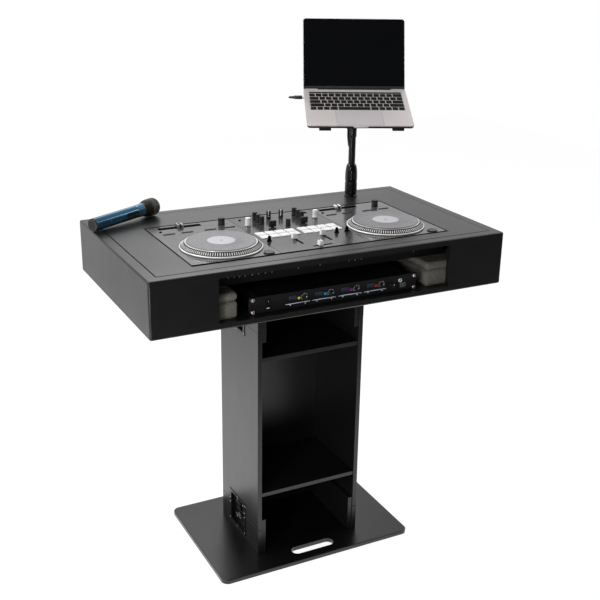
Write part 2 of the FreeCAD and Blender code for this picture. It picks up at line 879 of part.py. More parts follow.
def receiver():
    half = "(sizes.rack_width / 2)"
    heights = (rack_bottom, f"({rack_bottom} + sizes.unit_height)")
    rail_back = f"({rack_back} + sizes.rail_sheet)"
    rail_foot = f"({rack_back} + sizes.rail_foot)"
    foot_top = f"({case_floor} + sizes.rail_sheet)"
    rails = []
    for side in SIDES:
        across = on_side(side, f"({half} - sizes.rail_width)", half)
        upright = box(f"rail_upright_{side}", across, (rack_back, rail_back), (case_floor, heights[1]))
        foot = box(f"rail_foot_{side}", across, (rack_back, rail_foot), (case_floor, foot_top))
        rails.append(fuse(f"rail_{side}", [upright, foot]))
    rail_bores = screw_bores("rail_bores", "(sizes.screw_shank + sizes.rail_hole_fit)")
    keep(cut("rack_rails", group("rail_pair", rails), rail_bores))
    keep(group("rack_screws", [rack_screw(*spot) for spot in screw_places()]))
    chassis = about("0", "sizes.receiver_width")
    chassis_depth = (rack_back, f"({rack_back} + sizes.receiver_depth)")
    chassis_top = f"({rack_bottom} + sizes.receiver_height)"
    keep(box("receiver_case", chassis, chassis_depth, (rack_bottom, chassis_top)))
    panel = box("receiver_face", (f"-{half}", half), (rack_front, rack_back), heights)
    keep(cut("receiver_panel", panel, screw_bores("panel_bores", "sizes.screw_hole")))


def receiver_knob(name, x, rise):
    """A small knob that stands out of the receiver's panel."""
    knob = turned(name, [
        ("0", "0"),
        ("sizes.channel_knob", "0"),
        ("(sizes.channel_knob * sizes.knob_taper)", "sizes.channel_knob_length"),
        ("0", "sizes.channel_knob_length"),
    ])
    return facing_operator(knob, x, rack_front, f"({case_floor} + {rise})")


def receiver_knobs():
    knobs = []
    for channel in range(CHANNELS):
        x = f"(sizes.first_channel + {channel} * sizes.channel_pitch)"
        knobs.append(receiver_knob(f"channel_knob_{channel + 1}", x, "sizes.channel_knob_rise"))
    knobs.append(receiver_knob("phones_knob", "sizes.phones_knob_place", "sizes.phones_knob_rise"))
    keep(group("receiver_knobs", knobs))


# Deck controller: where its knobs, faders and paddles go

def deck_x(side):
    """The middle of a deck's platter."""
    return signed(side, "(sizes.platter_spacing / 2)")


def knob_places():
    """Every mixer and deck knob: its name, X, Y and the kind that sizes it."""
    for side in SIDES:
        x = signed(side, "(sizes.equaliser_spacing / 2)")
        for step, band in enumerate(("low", "mid", "high")):
            y = f"({controller_middle} + sizes.equaliser_back + {step} * sizes.equaliser_pitch)"
            yield f"{band}_knob_{side}", x, y, "equaliser"
        for kind in ("level", "filter"):
            x = signed(side, f"(sizes.{kind}_spacing / 2)")
            yield f"{kind}_knob_{side}", x, f"({controller_middle} + sizes.{kind}_back)", kind
        x = f"({deck_x(side)} + sizes.deck_knob_offset)"
        yield f"deck_knob_{side}", x, f"({controller_middle} + sizes.deck_knob_back)", "deck_knob"
    yield "browse_knob", "0", f"({controller_middle} + sizes.browse_back)", "browse"


def slot_length(travel):
    """The length of a slot that lets a fader's stem travel."""
    return f"({travel} + sizes.fader_stem + 2 * sizes.fader_fit)"


def fader_places():
    """Every fader: its name, its slot's X and Y spans, its cap's middle and whether it runs along X."""
    width = "sizes.fader_slot"
    for side in SIDES:
        x = f"({deck_x(side)} + sizes.pitch_centre)"
        slot = (about(x, slot_length("sizes.pitch_travel")), about(pitch_y, width))
        yield f"pitch_fader_{side}", slot, (x, pitch_y), "pitch", True
    for side in SIDES:
        x = signed(side, "(sizes.channel_spacing / 2)")
        middle = f"({channel_y} - sizes.channel_travel / 2)"
        slot = (about(x, width), about(middle, slot_length("sizes.channel_travel")))
        yield f"channel_fader_{side}", slot, (x, channel_y), "mixer", False
    slot = (about("0", slot_length("sizes.crossfader_travel")), about(crossfader_y, width))
    yield "crossfader", slot, ("sizes.crossfader_rest", crossfader_y), "mixer", True


def paddle_x(side):
    """The middle of an effect paddle."""
    return signed(side, "(sizes.paddle_spacing / 2)")


def local(x, y):
    """A place on the controller measured from its front left corner."""
    return f"({x} - {controller_left})", f"({y} - {controller_front})"


def local_spans(xs, ys):
    """Spans on the controller measured from its front left corner."""
    low = local(xs[0], ys[0])
    high = local(xs[1], ys[1])
    return (low[0], high[0]), (low[1], high[1])


def controller_shell():
    """The hollow tray and the plate that closes it, with its bores and slots."""
    width = (controller_left, "(sizes.controller_width / 2)")
    depth = (controller_front, controller_rear)
    tray = slab("controller_tray", width, depth, (controller_base, plate_under))
    round_off(tray, "sizes.controller_corner", is_upright)
    hollow = sketch_on(tray, "XY_Plane", "sizes.tray_wall")
    rectangle(hollow, ("sizes.tray_wall", "(sizes.controller_width - sizes.tray_wall)"),
              ("sizes.tray_wall", "(sizes.controller_depth - sizes.tray_wall)"))
    pocket(tray, hollow)
    keep(tray)
    plate = slab("controller_plate", width, depth, (plate_under, case_top))
    round_off(plate, "sizes.controller_corner", is_upright)
    openings = sketch_on(plate)
    shaft_bore = "(sizes.platter_shaft + sizes.shaft_fit)"
    paddle_bore = "(sizes.paddle_stem_width + 2 * sizes.fader_fit)"
    paddle_depth = about(paddle_y, "sizes.paddle_slot")
    for side in SIDES:
        circle(openings, *local(deck_x(side), platter_y), shaft_bore)
        rectangle(openings, *local_spans(about(paddle_x(side), paddle_bore), paddle_depth))
    for _, x, y, _ in knob_places():
        circle(openings, *local(x, y), "(sizes.knob_shaft + sizes.shaft_fit)")
    for _, slot, _, _, _ in fader_places():
        rectangle(openings, *local_spans(*slot))
    pocket(plate, openings)
    keep(plate)


def knob(name, x, y, kind):
    """A tapered knob on its shaft, just clear of the plate."""
    radius = f"sizes.{kind}_radius"
    skirt = "(sizes.shaft_depth + sizes.knob_lift)"
    top = f"({skirt} + sizes.{kind}_height)"
    body = turned(name, [
        ("0", "0"),
        ("sizes.knob_shaft", "0"),
        ("sizes.knob_shaft", skirt),
        (radius, skirt),
        (f"({radius} * sizes.knob_taper)", top),
        ("0", top),
    ])
    place(body, x, y, shaft_bottom)
    return body


def fader(name, middle, kind, runs_along_x):
    """A fader's cap on the stem that runs in its slot."""
    x, y = middle
    stem_width = "(sizes.fader_slot - 2 * sizes.fader_fit)"
    stem_sizes = ("sizes.fader_stem", stem_width)
    cap_sizes = (f"sizes.{kind}_cap_length", f"sizes.{kind}_cap_width")
    if not runs_along_x:
        stem_sizes = stem_sizes[::-1]
        cap_sizes = cap_sizes[::-1]
    cap_low = f"({case_top} + sizes.fader_lift)"
    cap_high = f"({cap_low} + sizes.{kind}_cap_height)"
    stem_low = f"({case_top} - sizes.fader_stem_depth)"
    stem = box(f"{name}_stem", about(x, stem_sizes[0]), about(y, stem_sizes[1]), (stem_low, cap_low))
    cap = box(f"{name}_cap", about(x, cap_sizes[0]), about(y, cap_sizes[1]), (cap_low, cap_high))
    return fuse(name, [stem, cap])


def paddle(side):
    """A sprung paddle that rocks on its stem in the plate."""
    x = paddle_x(side)
    name = f"effect_paddle_{side}"
    blade_low = f"({case_top} + sizes.paddle_lift)"
    blade_high = f"({blade_low} + sizes.paddle_height)"
    blade = box(f"{name}_blade", about(x, "sizes.paddle_width"), about(paddle_y, "sizes.paddle_thickness"),
                (blade_low, blade_high))
    stem = box(f"{name}_stem", about(x, "sizes.paddle_stem_width"), about(paddle_y, "sizes.paddle_stem"),
               (plate_under, blade_low))
    pivot = crosswise(f"{name}_pivot", "sizes.paddle_pivot", "sizes.paddle_stem_width")
    place(pivot, f"({x} - sizes.paddle_stem_width / 2)", paddle_y, f"(({plate_under} + {case_top}) / 2)")
    return fuse(name, [blade, stem, pivot])


def controller_buttons():
    """The pads between the decks and the buttons on each deck."""
    top = (case_top, f"({case_top} + sizes.button_height)")
    pad_heights = (case_top, f"({case_top} + sizes.pad_height)")
    buttons = []
    for side in SIDES:
        for row in range(PAD_ROWS):
            y = f"({controller_middle} + sizes.pad_back + {row} * sizes.pad_pitch)"
            depth = (y, f"({y} + sizes.pad_size)")
            for step in range(PADS_PER_ROW):
                near = f"(sizes.pad_group_gap / 2 + {step} * sizes.pad_pitch)"
                across = on_side(side, near, f"({near} + sizes.pad_size)")
                buttons.append(box(f"pad_{side}_{row}_{step}", across, depth, pad_heights))
        for order in ("first", "second", "third", "fourth"):
            start = f"({deck_x(side)} + sizes.{order}_button)"
            buttons.append(box(f"{order}_button_{side}", (start, f"({start} + sizes.button_width)"),
                               (button_y, f"({button_y} + sizes.button_depth)"), top))
        start_button = cylinder(f"start_button_{side}", "sizes.start_radius", "sizes.button_height")
        place(start_button, f"({deck_x(side)} + sizes.start_offset)",
              f"({controller_front} + sizes.start_inset)", case_top)
        buttons.append(start_button)
    keep(group("controller_buttons", buttons))


def platters():
    """Each deck's motor, platter and record."""
    motors = []
    shaft_low = f"({case_top} - sizes.platter_shaft_depth)"
    under = "(sizes.platter_shaft_depth + sizes.platter_lift)"
    rim = f"({under} + sizes.platter_rim)"
    top = f"({under} + sizes.platter_height)"
    spindle_top = f"({top} + sizes.spindle_height)"
    for side in SIDES:
        bore = "(sizes.platter_shaft + sizes.shaft_fit)"
        motor = turned(f"motor_{side}", [
            (bore, "0"),
            ("sizes.motor_radius", "0"),
            ("sizes.motor_radius", "sizes.motor_height"),
            (bore, "sizes.motor_height"),
        ])
        place(motor, deck_x(side), platter_y, f"({controller_base} + sizes.tray_wall)")
        motors.append(motor)
        platter = turned(f"platter_{side}", [
            ("0", "0"),
            ("sizes.platter_shaft", "0"),
            ("sizes.platter_shaft", under),
            ("sizes.platter_radius", under),
            ("sizes.platter_radius", rim),
            ("sizes.platter_top_radius", top),
            ("sizes.spindle", top),
            ("sizes.spindle", spindle_top),
            ("0", spindle_top),
        ])
        place(platter, deck_x(side), platter_y, shaft_low)
        keep(platter)
        record = turned(f"record_{side}", [
            ("sizes.record_hole", "0"),
            ("sizes.record_radius", "0"),
            ("sizes.record_radius", "sizes.record_thickness"),
            ("sizes.record_hole", "sizes.record_thickness"),
        ])
        place(record, deck_x(side), platter_y, f"({shaft_low} + {top})")
        keep(record)
    keep(group("platter_motors", motors))


def controller():
    controller_shell()
    platters()
    controller_buttons()
    for spot in knob_places():
        keep(knob(*spot))
    for name, _, middle, kind, runs_along_x in fader_places():
        keep(fader(name, middle, kind, runs_along_x))
    for side in SIDES:
        keep(paddle(side))


# Laptop pole: its head and all above it are drawn square, tilted as a tray and then swung about the pole

tray_axis = FreeCAD.Vector(1, 0, 0)
pole_axis = FreeCAD.Vector(0, 0, 1)
bore_radius = "(sizes.pole_radius + sizes.shaft_fit)"
arm_top = "sizes.tray_rise"
deck_top = "(sizes.tray_rise + sizes.laptop_base)"
laptop_rear = "(sizes.hinge_reach + sizes.hinge_inset)"
laptop_front = f"({laptop_rear} - sizes.laptop_depth)"
laptop_left = "(sizes.laptop_shift - sizes.laptop_width / 2)"
laptop_right = "(sizes.laptop_shift + sizes.laptop_width / 2)"


def swung(name, members):
    """Pieces drawn about the pole's axis, turned to the laptop's heading."""
    whole = group(name, members)
    turn(whole, pole_axis, "sizes.yaw_angle")
    place(whole, pole_x, pole_y, "0")
    return whole


def tilted(name, members):
    """Pieces drawn about the tilt pin, tipped to the tray's slope."""
    whole = group(f"{name}_sloped", members)
    turn(whole, tray_axis, "sizes.tilt_angle")
    place(whole, "0", "0", "sizes.tilt_height")
    return swung(name, [whole])


def pole():
    """The clutch socket on the panel and the tube that slides in it."""
    flange = "sizes.flange_height"
    socket = turned("pole_socket", [
        ("0", "0"),
        ("sizes.flange_radius", "0"),
        ("sizes.flange_radius", flange),
        ("sizes.grip_radius", flange),
        ("sizes.grip_radius", "sizes.grip_notch_low"),
        ("sizes.grip_notch_radius", "sizes.grip_notch_low"),
        ("sizes.grip_notch_radius", "sizes.grip_notch_high"),
        ("sizes.grip_radius", "sizes.grip_notch_high"),
        ("sizes.grip_radius", "sizes.grip_shoulder"),
        ("sizes.grip_mouth", "sizes.grip_top"),
        (bore_radius, "sizes.grip_top"),
        (bore_radius, flange),
        ("0", flange),
    ])
    place(socket, pole_x, pole_y, case_top)
    keep(socket)
    tube_low = f"({case_top} + {flange} + sizes.stop_gap)"
    tube = cylinder("pole_tube", "sizes.pole_radius", f"(sizes.pole_top - {tube_low})")
    place(tube, pole_x, pole_y, tube_low)
    keep(tube)


def stand_head():
    """The sleeve on the tube, its clamp lever and the lug that the tray tilts on."""
    ceiling = "(sizes.pole_top + sizes.stop_gap - sizes.sleeve_bottom)"
    cap = f"({ceiling} + sizes.sleeve_cap)"
    sleeve = turned("sleeve", [
        (bore_radius, "0"),
        ("sizes.sleeve_radius", "0"),
        ("sizes.sleeve_radius", cap),
        ("0", cap),
        ("0", ceiling),
        (bore_radius, ceiling),
    ])
    place(sleeve, "0", "0", "sizes.sleeve_bottom")
    lug_low = f"(sizes.sleeve_bottom + {ceiling})"
    lug = box("lug", about("0", "sizes.lug_width"), about("0", "(2 * sizes.lug_radius)"),
              (lug_low, "sizes.tilt_height"))
    crown = crosswise("lug_crown", "sizes.lug_radius", "sizes.lug_width")
    bind(crown, {"Placement.Base.z": "sizes.tilt_height"})
    lever_out = "(sizes.sleeve_radius + sizes.clamp_reach)"
    lever_in = "(sizes.sleeve_radius - sizes.clamp_bite)"
    lever = box("clamp_lever", on_side("left", lever_in, lever_out), about("0", "sizes.clamp_width"),
                about("sizes.clamp_height", "sizes.clamp_length"))
    bore = crosswise("lug_bore", "(sizes.tilt_pin + sizes.shaft_fit)", "(2 * sizes.lug_width)")
    bind(bore, {"Placement.Base.z": "sizes.tilt_height"})
    head = cut("head_solid", fuse("head_blank", [sleeve, lug, crown, lever]), bore)
    keep(swung("stand_head", [head]))


def laptop_tray():
    """Two hooked arms on a bridge, with the ears and pin that it tilts on."""
    sheet_low = "(sizes.tray_rise - sizes.tray_sheet)"
    thickness = (sheet_low, arm_top)
    pieces = []
    for side in SIDES:
        arm_x = f"(sizes.arm_shift + {signed(side, '(sizes.arm_spacing / 2)')})"
        across = about(arm_x, "sizes.arm_width")
        pieces.append(box(f"arm_{side}", across, (laptop_front, "sizes.arm_back"), thickness))
        pieces.append(box(f"hook_{side}", across, (f"({laptop_front} - sizes.tray_sheet)", laptop_front),
                          (sheet_low, "(sizes.tray_rise + sizes.hook_height)")))
        ear_near = "(sizes.lug_width / 2 + sizes.ear_gap)"
        ear = on_side(side, ear_near, f"({ear_near} + sizes.ear_thickness)")
        pieces.append(box(f"ear_{side}", ear, about("0", "sizes.ear_depth"), ("(-sizes.ear_drop)", arm_top)))
    pieces.append(box("bridge", about("sizes.arm_shift", "sizes.arm_spacing"),
                      about("0", "sizes.bridge_depth"), thickness))
    pin_length = "(sizes.lug_width + 2 * sizes.ear_gap + 2 * sizes.ear_thickness)"
    pieces.append(crosswise("tilt_pin", "sizes.tilt_pin", pin_length))
    keep(tilted("laptop_tray", [fuse("tray_solid", pieces)]))


def laptop_base():
    """The laptop's lower half, drawn in underneath, with its key well and its hinge notch."""
    base = slab("laptop_deck", (laptop_left, laptop_right), (laptop_front, laptop_rear), (arm_top, deck_top))
    round_off(base, "sizes.laptop_corner", is_upright)
    round_off(base, "sizes.laptop_underside", lambda edge: edge.ZMax < EDGE_TOLERANCE)
    well = sketch_on(base, "XY_Plane", "(sizes.laptop_base - sizes.key_well_sink)")
    well_rear = "(sizes.laptop_depth - sizes.key_well_inset)"
    rectangle(well, about("(sizes.laptop_width / 2)", "sizes.key_well_width"),
              (f"({well_rear} - sizes.key_well_depth)", well_rear))
    pocket(base, well)
    notch_depth = "(sizes.hinge_radius + sizes.hinge_fit)"
    notch = sketch_on(base, "XY_Plane", f"(sizes.laptop_base - sizes.hinge_sink - {notch_depth})")
    notch_front = f"(sizes.laptop_depth - sizes.hinge_inset - {notch_depth})"
    past_rear = "(sizes.laptop_depth + sizes.hinge_inset)"
    rectangle(notch, about("(sizes.laptop_width / 2)", "(sizes.hinge_length + 2 * sizes.hinge_fit)"),
              (notch_front, past_rear))
    pocket(base, notch)
    keep(tilted("laptop_base", [base]))


def laptop_keys():
    """Six rows of keys on the well's floor, the front one with its space bar."""
    well_rear = f"({laptop_rear} - sizes.key_well_inset)"
    floor = f"({deck_top} - sizes.key_well_sink)"
    heights = (floor, f"({floor} + sizes.key_height)")
    pitches = sum(KEY_ROWS[0])
    first_x = f"(sizes.laptop_shift - {pitches} * sizes.key_pitch / 2 + sizes.key_gap / 2)"
    first_y = f"({well_rear} - sizes.key_well_depth + sizes.key_gap)"
    keys = []
    for row, widths in enumerate(KEY_ROWS):
        is_rear = row == len(KEY_ROWS) - 1
        key_depth = "sizes.rear_key_depth" if is_rear else "(sizes.key_pitch - sizes.key_gap)"
        y = f"({first_y} + {row} * sizes.key_pitch)"
        for number, width in enumerate(widths):
            x = f"({first_x} + {sum(widths[:number])} * sizes.key_pitch)"
            across = (x, f"({x} + {width} * sizes.key_pitch - sizes.key_gap)")
            keys.append(box(f"key_{row}_{number}", across, (y, f"({y} + {key_depth})"), heights))
    keep(tilted("laptop_keys", keys))


def laptop_lid():
    """The screen half, drawn along +Y from its hinge and then opened."""
    back = "(-sizes.lid_offset - sizes.lid_thickness)"
    front = "(-sizes.lid_offset)"
    length = ("sizes.lid_start", "sizes.lid_length")
    plate = slab("lid_plate", about("0", "sizes.laptop_width"), length, (back, front))
    far = value(width_of(length)) - EDGE_TOLERANCE
    round_off(plate, "sizes.laptop_corner", lambda edge: is_upright(edge) and edge.YMin > far)
    barrel = crosswise("hinge_barrel", "sizes.hinge_radius", "sizes.hinge_length")
    opened = group("lid_opened", [fuse("lid_solid", [plate, barrel])])
    turn(opened, tray_axis, "(180 - sizes.lid_open)")
    place(opened, "sizes.laptop_shift", "sizes.hinge_reach", f"({deck_top} - sizes.hinge_sink)")
    keep(tilted("laptop_lid", [opened]))


def memory_stick():
    """A stick plugged into the laptop's left side."""
    rear = f"({laptop_rear} - sizes.stick_inset)"
    across = (f"({laptop_left} - sizes.stick_length)", laptop_left)
    heights = about("(sizes.tray_rise + sizes.laptop_base / 2 - sizes.stick_drop)", "sizes.stick_thickness")
    stick = box("stick", across, (f"({rear} - sizes.stick_width)", rear), heights)
    keep(tilted("memory_stick", [stick]))


# Microphone, turned along its own axis from the tail and laid on the panel

def microphone():
    barrel_end = "(sizes.tail_length + sizes.barrel_length)"
    collar_end = f"({barrel_end} + sizes.collar_length)"
    flare_end = f"({collar_end} + sizes.head_flare)"
    head_end = f"({collar_end} + sizes.head_length)"
    barrel = turned("microphone_barrel", [
        ("0", "0"),
        ("sizes.tail_radius", "0"),
        ("sizes.tail_radius", "sizes.tail_length"),
        ("sizes.barrel_radius", barrel_end),
        ("0", barrel_end),
    ])
    collar = turned("microphone_collar", [
        ("0", barrel_end),
        ("sizes.barrel_radius", barrel_end),
        ("sizes.collar_radius", collar_end),
        ("0", collar_end),
    ])
    head = turned("microphone_head", [
        ("0", collar_end),
        ("sizes.head_neck", collar_end),
        ("sizes.head_radius", flare_end),
        ("sizes.head_radius", head_end),
        ("0", head_end),
    ])
    far = value(head_end) - EDGE_TOLERANCE
    round_off(head, "sizes.head_round", lambda edge: edge.ZMin > far)
    rise = f"asin((sizes.head_radius - sizes.tail_radius) / {flare_end})"
    laid = group("microphone_laid", [barrel, collar, head])
    turn(laid, FreeCAD.Vector(0, 1, 0), f"90 deg - {rise}")
    whole = group("microphone", [laid])
    turn(whole, FreeCAD.Vector(0, 0, 1), "sizes.microphone_yaw")
    place(whole, f"(-{case_half} + sizes.microphone_side_inset)",
          f"({case_rear} - sizes.microphone_rear_inset)",
          f"({case_top} + sizes.tail_radius + sizes.microphone_lift)")
    keep(whole)


base_plate()
column()
latches()
case_boards()
top_frame()
top_panel()
foam_risers()
receiver()
receiver_knobs()
controller()
pole()
stand_head()
laptop_tray()
laptop_base()
laptop_keys()
laptop_lid()
memory_stick()
microphone()

doc.recompute()
faults = [thing.Label for thing in doc.Objects if "Invalid" in thing.State or "Error" in thing.State]
faults += [node.Label for node in nodes if node.Shape.isNull() or not node.Shape.isValid()]
if faults:
    raise RuntimeError(f"failed objects: {faults}")
os.makedirs("parts", exist_ok=True)
for node in nodes:
    node.Shape.exportStep(f"parts/{node.Label}.step")
print(f"{len(nodes)} sub-parts written")
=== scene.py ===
import json
import math

import bmesh
import bpy
from mathutils import Matrix, Vector, noise

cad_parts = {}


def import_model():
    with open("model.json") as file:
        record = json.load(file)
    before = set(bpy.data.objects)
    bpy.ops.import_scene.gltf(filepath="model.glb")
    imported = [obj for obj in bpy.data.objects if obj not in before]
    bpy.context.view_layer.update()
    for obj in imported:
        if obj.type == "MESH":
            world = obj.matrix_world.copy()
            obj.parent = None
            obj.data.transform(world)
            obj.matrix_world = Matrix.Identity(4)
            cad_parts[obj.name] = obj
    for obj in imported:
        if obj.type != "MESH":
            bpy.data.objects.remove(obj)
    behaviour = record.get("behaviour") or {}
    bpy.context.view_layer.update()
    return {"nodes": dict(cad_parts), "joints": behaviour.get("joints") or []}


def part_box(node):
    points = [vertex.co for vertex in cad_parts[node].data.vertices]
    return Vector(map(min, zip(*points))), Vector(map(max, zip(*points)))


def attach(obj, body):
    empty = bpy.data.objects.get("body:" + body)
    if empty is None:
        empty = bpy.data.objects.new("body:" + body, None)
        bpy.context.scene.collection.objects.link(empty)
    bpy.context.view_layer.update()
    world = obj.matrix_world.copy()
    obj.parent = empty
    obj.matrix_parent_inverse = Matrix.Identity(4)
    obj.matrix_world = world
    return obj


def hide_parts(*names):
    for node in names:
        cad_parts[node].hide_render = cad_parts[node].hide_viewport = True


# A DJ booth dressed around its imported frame: satin black boards, a deck controller,
# a rack receiver, a laptop on a pole and a hand microphone.
# Shapes are given in millimetres, and the mesh helpers turn them into metres.
# The axes are the frame's own: +X right, +Y away from the operator, +Z up.

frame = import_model()
nodes = frame["nodes"]
scene = bpy.context.scene
MM = 0.001
QUARTER = math.pi / 2
SIDES = ("left", "right")
SIGN = {"left": -1, "right": 1}
WAYS = (-1, 1)


# Mesh helpers

def measured(name):
    """A frame node's lowest corner, highest corner and middle, in millimetres."""
    low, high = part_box(name)
    return low / MM, high / MM, (low + high) / 2 / MM


def at(x=0.0, y=0.0, z=0.0):
    """A move to a place in millimetres."""
    return Matrix.Translation((x * MM, y * MM, z * MM))


def spin(angle, axis="Z"):
    return Matrix.Rotation(angle, 4, axis)


def piece(name, bm, finishes, body, replaced=(), place=None, crease=35):
    """Turns a bmesh into a named piece that rides on a body."""
    bmesh.ops.recalc_face_normals(bm, faces=bm.faces)
    mesh = bpy.data.meshes.new(name)
    bm.to_mesh(mesh)
    bm.free()
    for finish in finishes:
        mesh.materials.append(M[finish])
    mesh.shade_smooth()
    mesh.set_sharp_from_angle(angle=math.radians(crease))
    made = bpy.data.objects.new(name, mesh)
    scene.collection.objects.link(made)
    if place is not None:
        made.matrix_world = place
    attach(made, body)
    if replaced:
        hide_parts(*replaced)
    return made


def block(bm, low, high, radius=0.0, steps=2, finish=0, place=None):
    """A box between two corners with rounded edges."""
    low, high = (Vector(part * MM for part in corner) for corner in (low, high))
    verts = bmesh.ops.create_cube(bm, size=1.0)["verts"]
    for vert in verts:
        share = vert.co + Vector((0.5, 0.5, 0.5))
        vert.co = low + Vector(a * b for a, b in zip(share, high - low))
    for face in {face for vert in verts for face in vert.link_faces}:
        face.material_index = finish
    if radius:
        edges = {edge for vert in verts for edge in vert.link_edges}
        made = bmesh.ops.bevel(bm, geom=list(edges), offset=radius * MM, segments=steps, profile=0.5,
                               affect="EDGES", clamp_overlap=True, material=-1)
        rounded = {vert for face in made["faces"] for vert in face.verts}
        verts = list(rounded | {vert for vert in verts if vert.is_valid})
    if place is not None:
        bmesh.ops.transform(bm, matrix=place, verts=verts)
    return verts


def ring(bm, spots, place=Matrix.Identity(4)):
    """New points at spots in millimetres."""
    return [bm.verts.new(place @ Vector(part * MM for part in spot)) for spot in spots]


def level(bm, outline, height):
    """New points round an outline at one height."""
    return ring(bm, [(*point, height) for point in outline])


def skin(bm, rings, finish=0, closed=False):
    """Faces between rings of as many points, or a ring and a single point."""
    pairs = list(zip(rings, rings[1:]))
    if closed:
        pairs.append((rings[-1], rings[0]))
    for number, (low, high) in enumerate(pairs):
        index = finish[number] if isinstance(finish, list) else finish
        count = max(len(low), len(high))
        for step in range(count):
            after = (step + 1) % count
            corners = [low[step % len(low)], low[after % len(low)],
                       high[after % len(high)], high[step % len(high)]]
            unique = list(dict.fromkeys(corners))
            if len(unique) > 2:
                bm.faces.new(unique).material_index = index


def loft(bm, rings, finish=0):
    """A skin over rings, closed at both ends in the finish of its first and last strip."""
    skin(bm, rings, finish)
    strips = finish if isinstance(finish, list) else [finish]
    bm.faces.new(rings[0]).material_index = strips[0]
    bm.faces.new(rings[-1]).material_index = strips[-1]


def prism(bm, outline, low, high, finish=0, bevel=0.0):
    """An outline in XY drawn up from one height to another, its top edge eased by a bevel."""
    levels = [(0.0, low), (0.0, high - bevel), (bevel, high)] if bevel else [(0.0, low), (0.0, high)]
    middle = sum((Vector(point) for point in outline), Vector((0, 0))) / len(outline)
    rings = []
    for inset, height in levels:
        eased = []
        for point in outline:
            offset = Vector(point) - middle
            shrink = 1 - inset / max(offset.length, inset) if inset else 1
            eased.append(middle + offset * shrink)
        rings.append(level(bm, eased, height))
    loft(bm, rings, finish)


def lathe(bm, profile, segments=48, finish=0, place=Matrix.Identity(4), flutes=0, closed=False):
    """Spins points of radius, height and flute depth about Z; the flutes follow a cosine round the ring."""
    rings = []
    for radius, height, *flute in profile:
        depth = flute[0] if flute else 0.0
        spots = []
        for step in range(segments if radius > 0 else 1):
            angle = math.tau * step / segments
            reach = radius - depth * (0.5 - 0.5 * math.cos(flutes * angle))
            spots.append((reach * math.cos(angle), reach * math.sin(angle), height))
        rings.append(ring(bm, spots, place))
    skin(bm, rings, finish, closed)


def round_outline(width, depth, radius, centre=(0.0, 0.0), steps=6):
    """The points of a rectangle with round corners."""
    points = []
    for turn, (sx, sy) in enumerate(((1, 1), (-1, 1), (-1, -1), (1, -1))):
        corner = Vector((centre[0] + sx * (width / 2 - radius), centre[1] + sy * (depth / 2 - radius)))
        for step in range(steps + 1):
            angle = QUARTER * (turn + step / steps)
            points.append(corner + radius * Vector((math.cos(angle), math.sin(angle))))
    return points


def soften(name, width):
    """Eases the sharp edges of a frame node without touching its mesh."""
    weld = nodes[name].modifiers.new("join", "WELD")
    weld.merge_threshold = 0.01 * MM
    bevel = nodes[name].modifiers.new("ease", "BEVEL")
    bevel.width = width * MM
    bevel.segments = 2
    bevel.limit_method = "ANGLE"
    bevel.angle_limit = math.radians(40)
    bevel.harden_normals = True


# Places read from the frame; the controller's details are drawn about its middle

plate_low, plate_high, plate_middle = measured("controller_plate")
plate_size = plate_high - plate_low
deck_top = plate_high.z
deck_place = at(plate_middle.x, plate_middle.y)
DECK_X = measured("platter_right")[2].x - plate_middle.x
MIXER_HALF = 129
booth_top = measured("top_panel")[1].z
panel_low = measured("receiver_panel")[0]


# Material helpers

M = {}


def toned(colour, factor=1.0):
    """A screen colour in the renderer's linear scale, made lighter or darker."""
    def linear(part):
        share = part / 255
        return share / 12.92 if share <= 0.04045 else ((share + 0.055) / 1.055) ** 2.4
    return tuple(min(1.0, linear(part) * factor) for part in colour) + (1.0,)


def feed(tree, socket, value):
    """Links a socket to an input, or sets the input to any other value."""
    if isinstance(value, bpy.types.NodeSocket):
        tree.links.new(value, socket)
    else:
        socket.default_value = value


def fill(tree, target, **inputs):
    """Feeds a node's inputs by name."""
    for key, value in inputs.items():
        feed(tree, target.inputs[key.replace("_", " ")], value)


def node(tree, kind, *values, settings=None, **inputs):
    """A shader node whose inputs are fed in order or by name."""
    made = tree.nodes.new("ShaderNode" + kind)
    for key, value in (settings or {}).items():
        setattr(made, key, value)
    for socket, value in zip(made.inputs, values):
        feed(tree, socket, value)
    fill(tree, made, **inputs)
    return made


def maths(tree, operation, *values):
    return node(tree, "Math", *values, settings={"operation": operation}).outputs["Value"]


def vector_maths(tree, operation, *values):
    return node(tree, "VectorMath", *values, settings={"operation": operation}).outputs["Value"]


def speckle(tree, place, scale, detail, rough=0.5):
    return node(tree, "TexNoise", Vector=place, Scale=scale, Detail=detail, Roughness=rough).outputs["Fac"]


def remap(tree, value, start, end, low=0.0, high=1.0, smooth=False):
    """A value taken from one range to another."""
    kind = {"interpolation_type": "SMOOTHSTEP" if smooth else "LINEAR"}
    return node(tree, "MapRange", settings=kind, Value=value, From_Min=start, From_Max=end,
                To_Min=low, To_Max=high).outputs["Result"]


def relief_of(tree, height, strength, distance=0.2 * MM):
    return node(tree, "Bump", Strength=strength, Distance=distance, Height=height).outputs["Normal"]


def ramp(tree, factor, *stops):
    """A colour ramp between two stops, each given as its place and colour."""
    made = node(tree, "ValToRGB", factor)
    for element, (place, colour) in zip(made.color_ramp.elements, stops):
        element.position = place
        element.color = colour
    return made.outputs["Color"]


def drifting(tree, share, colour, drift):
    """A colour that drifts darker and lighter with a share."""
    return ramp(tree, share, (0.3, toned(colour, 1 - drift)), (0.7, toned(colour, 1 + drift)))


def mixed_colour(tree, share, first, second):
    mixed = node(tree, "Mix", share, settings={"data_type": "RGBA"})
    feed(tree, mixed.inputs[6], first)
    feed(tree, mixed.inputs[7], second)
    return mixed.outputs[2]


def mixed_shader(tree, share, first, second):
    return node(tree, "MixShader", share, first, second).outputs["Shader"]


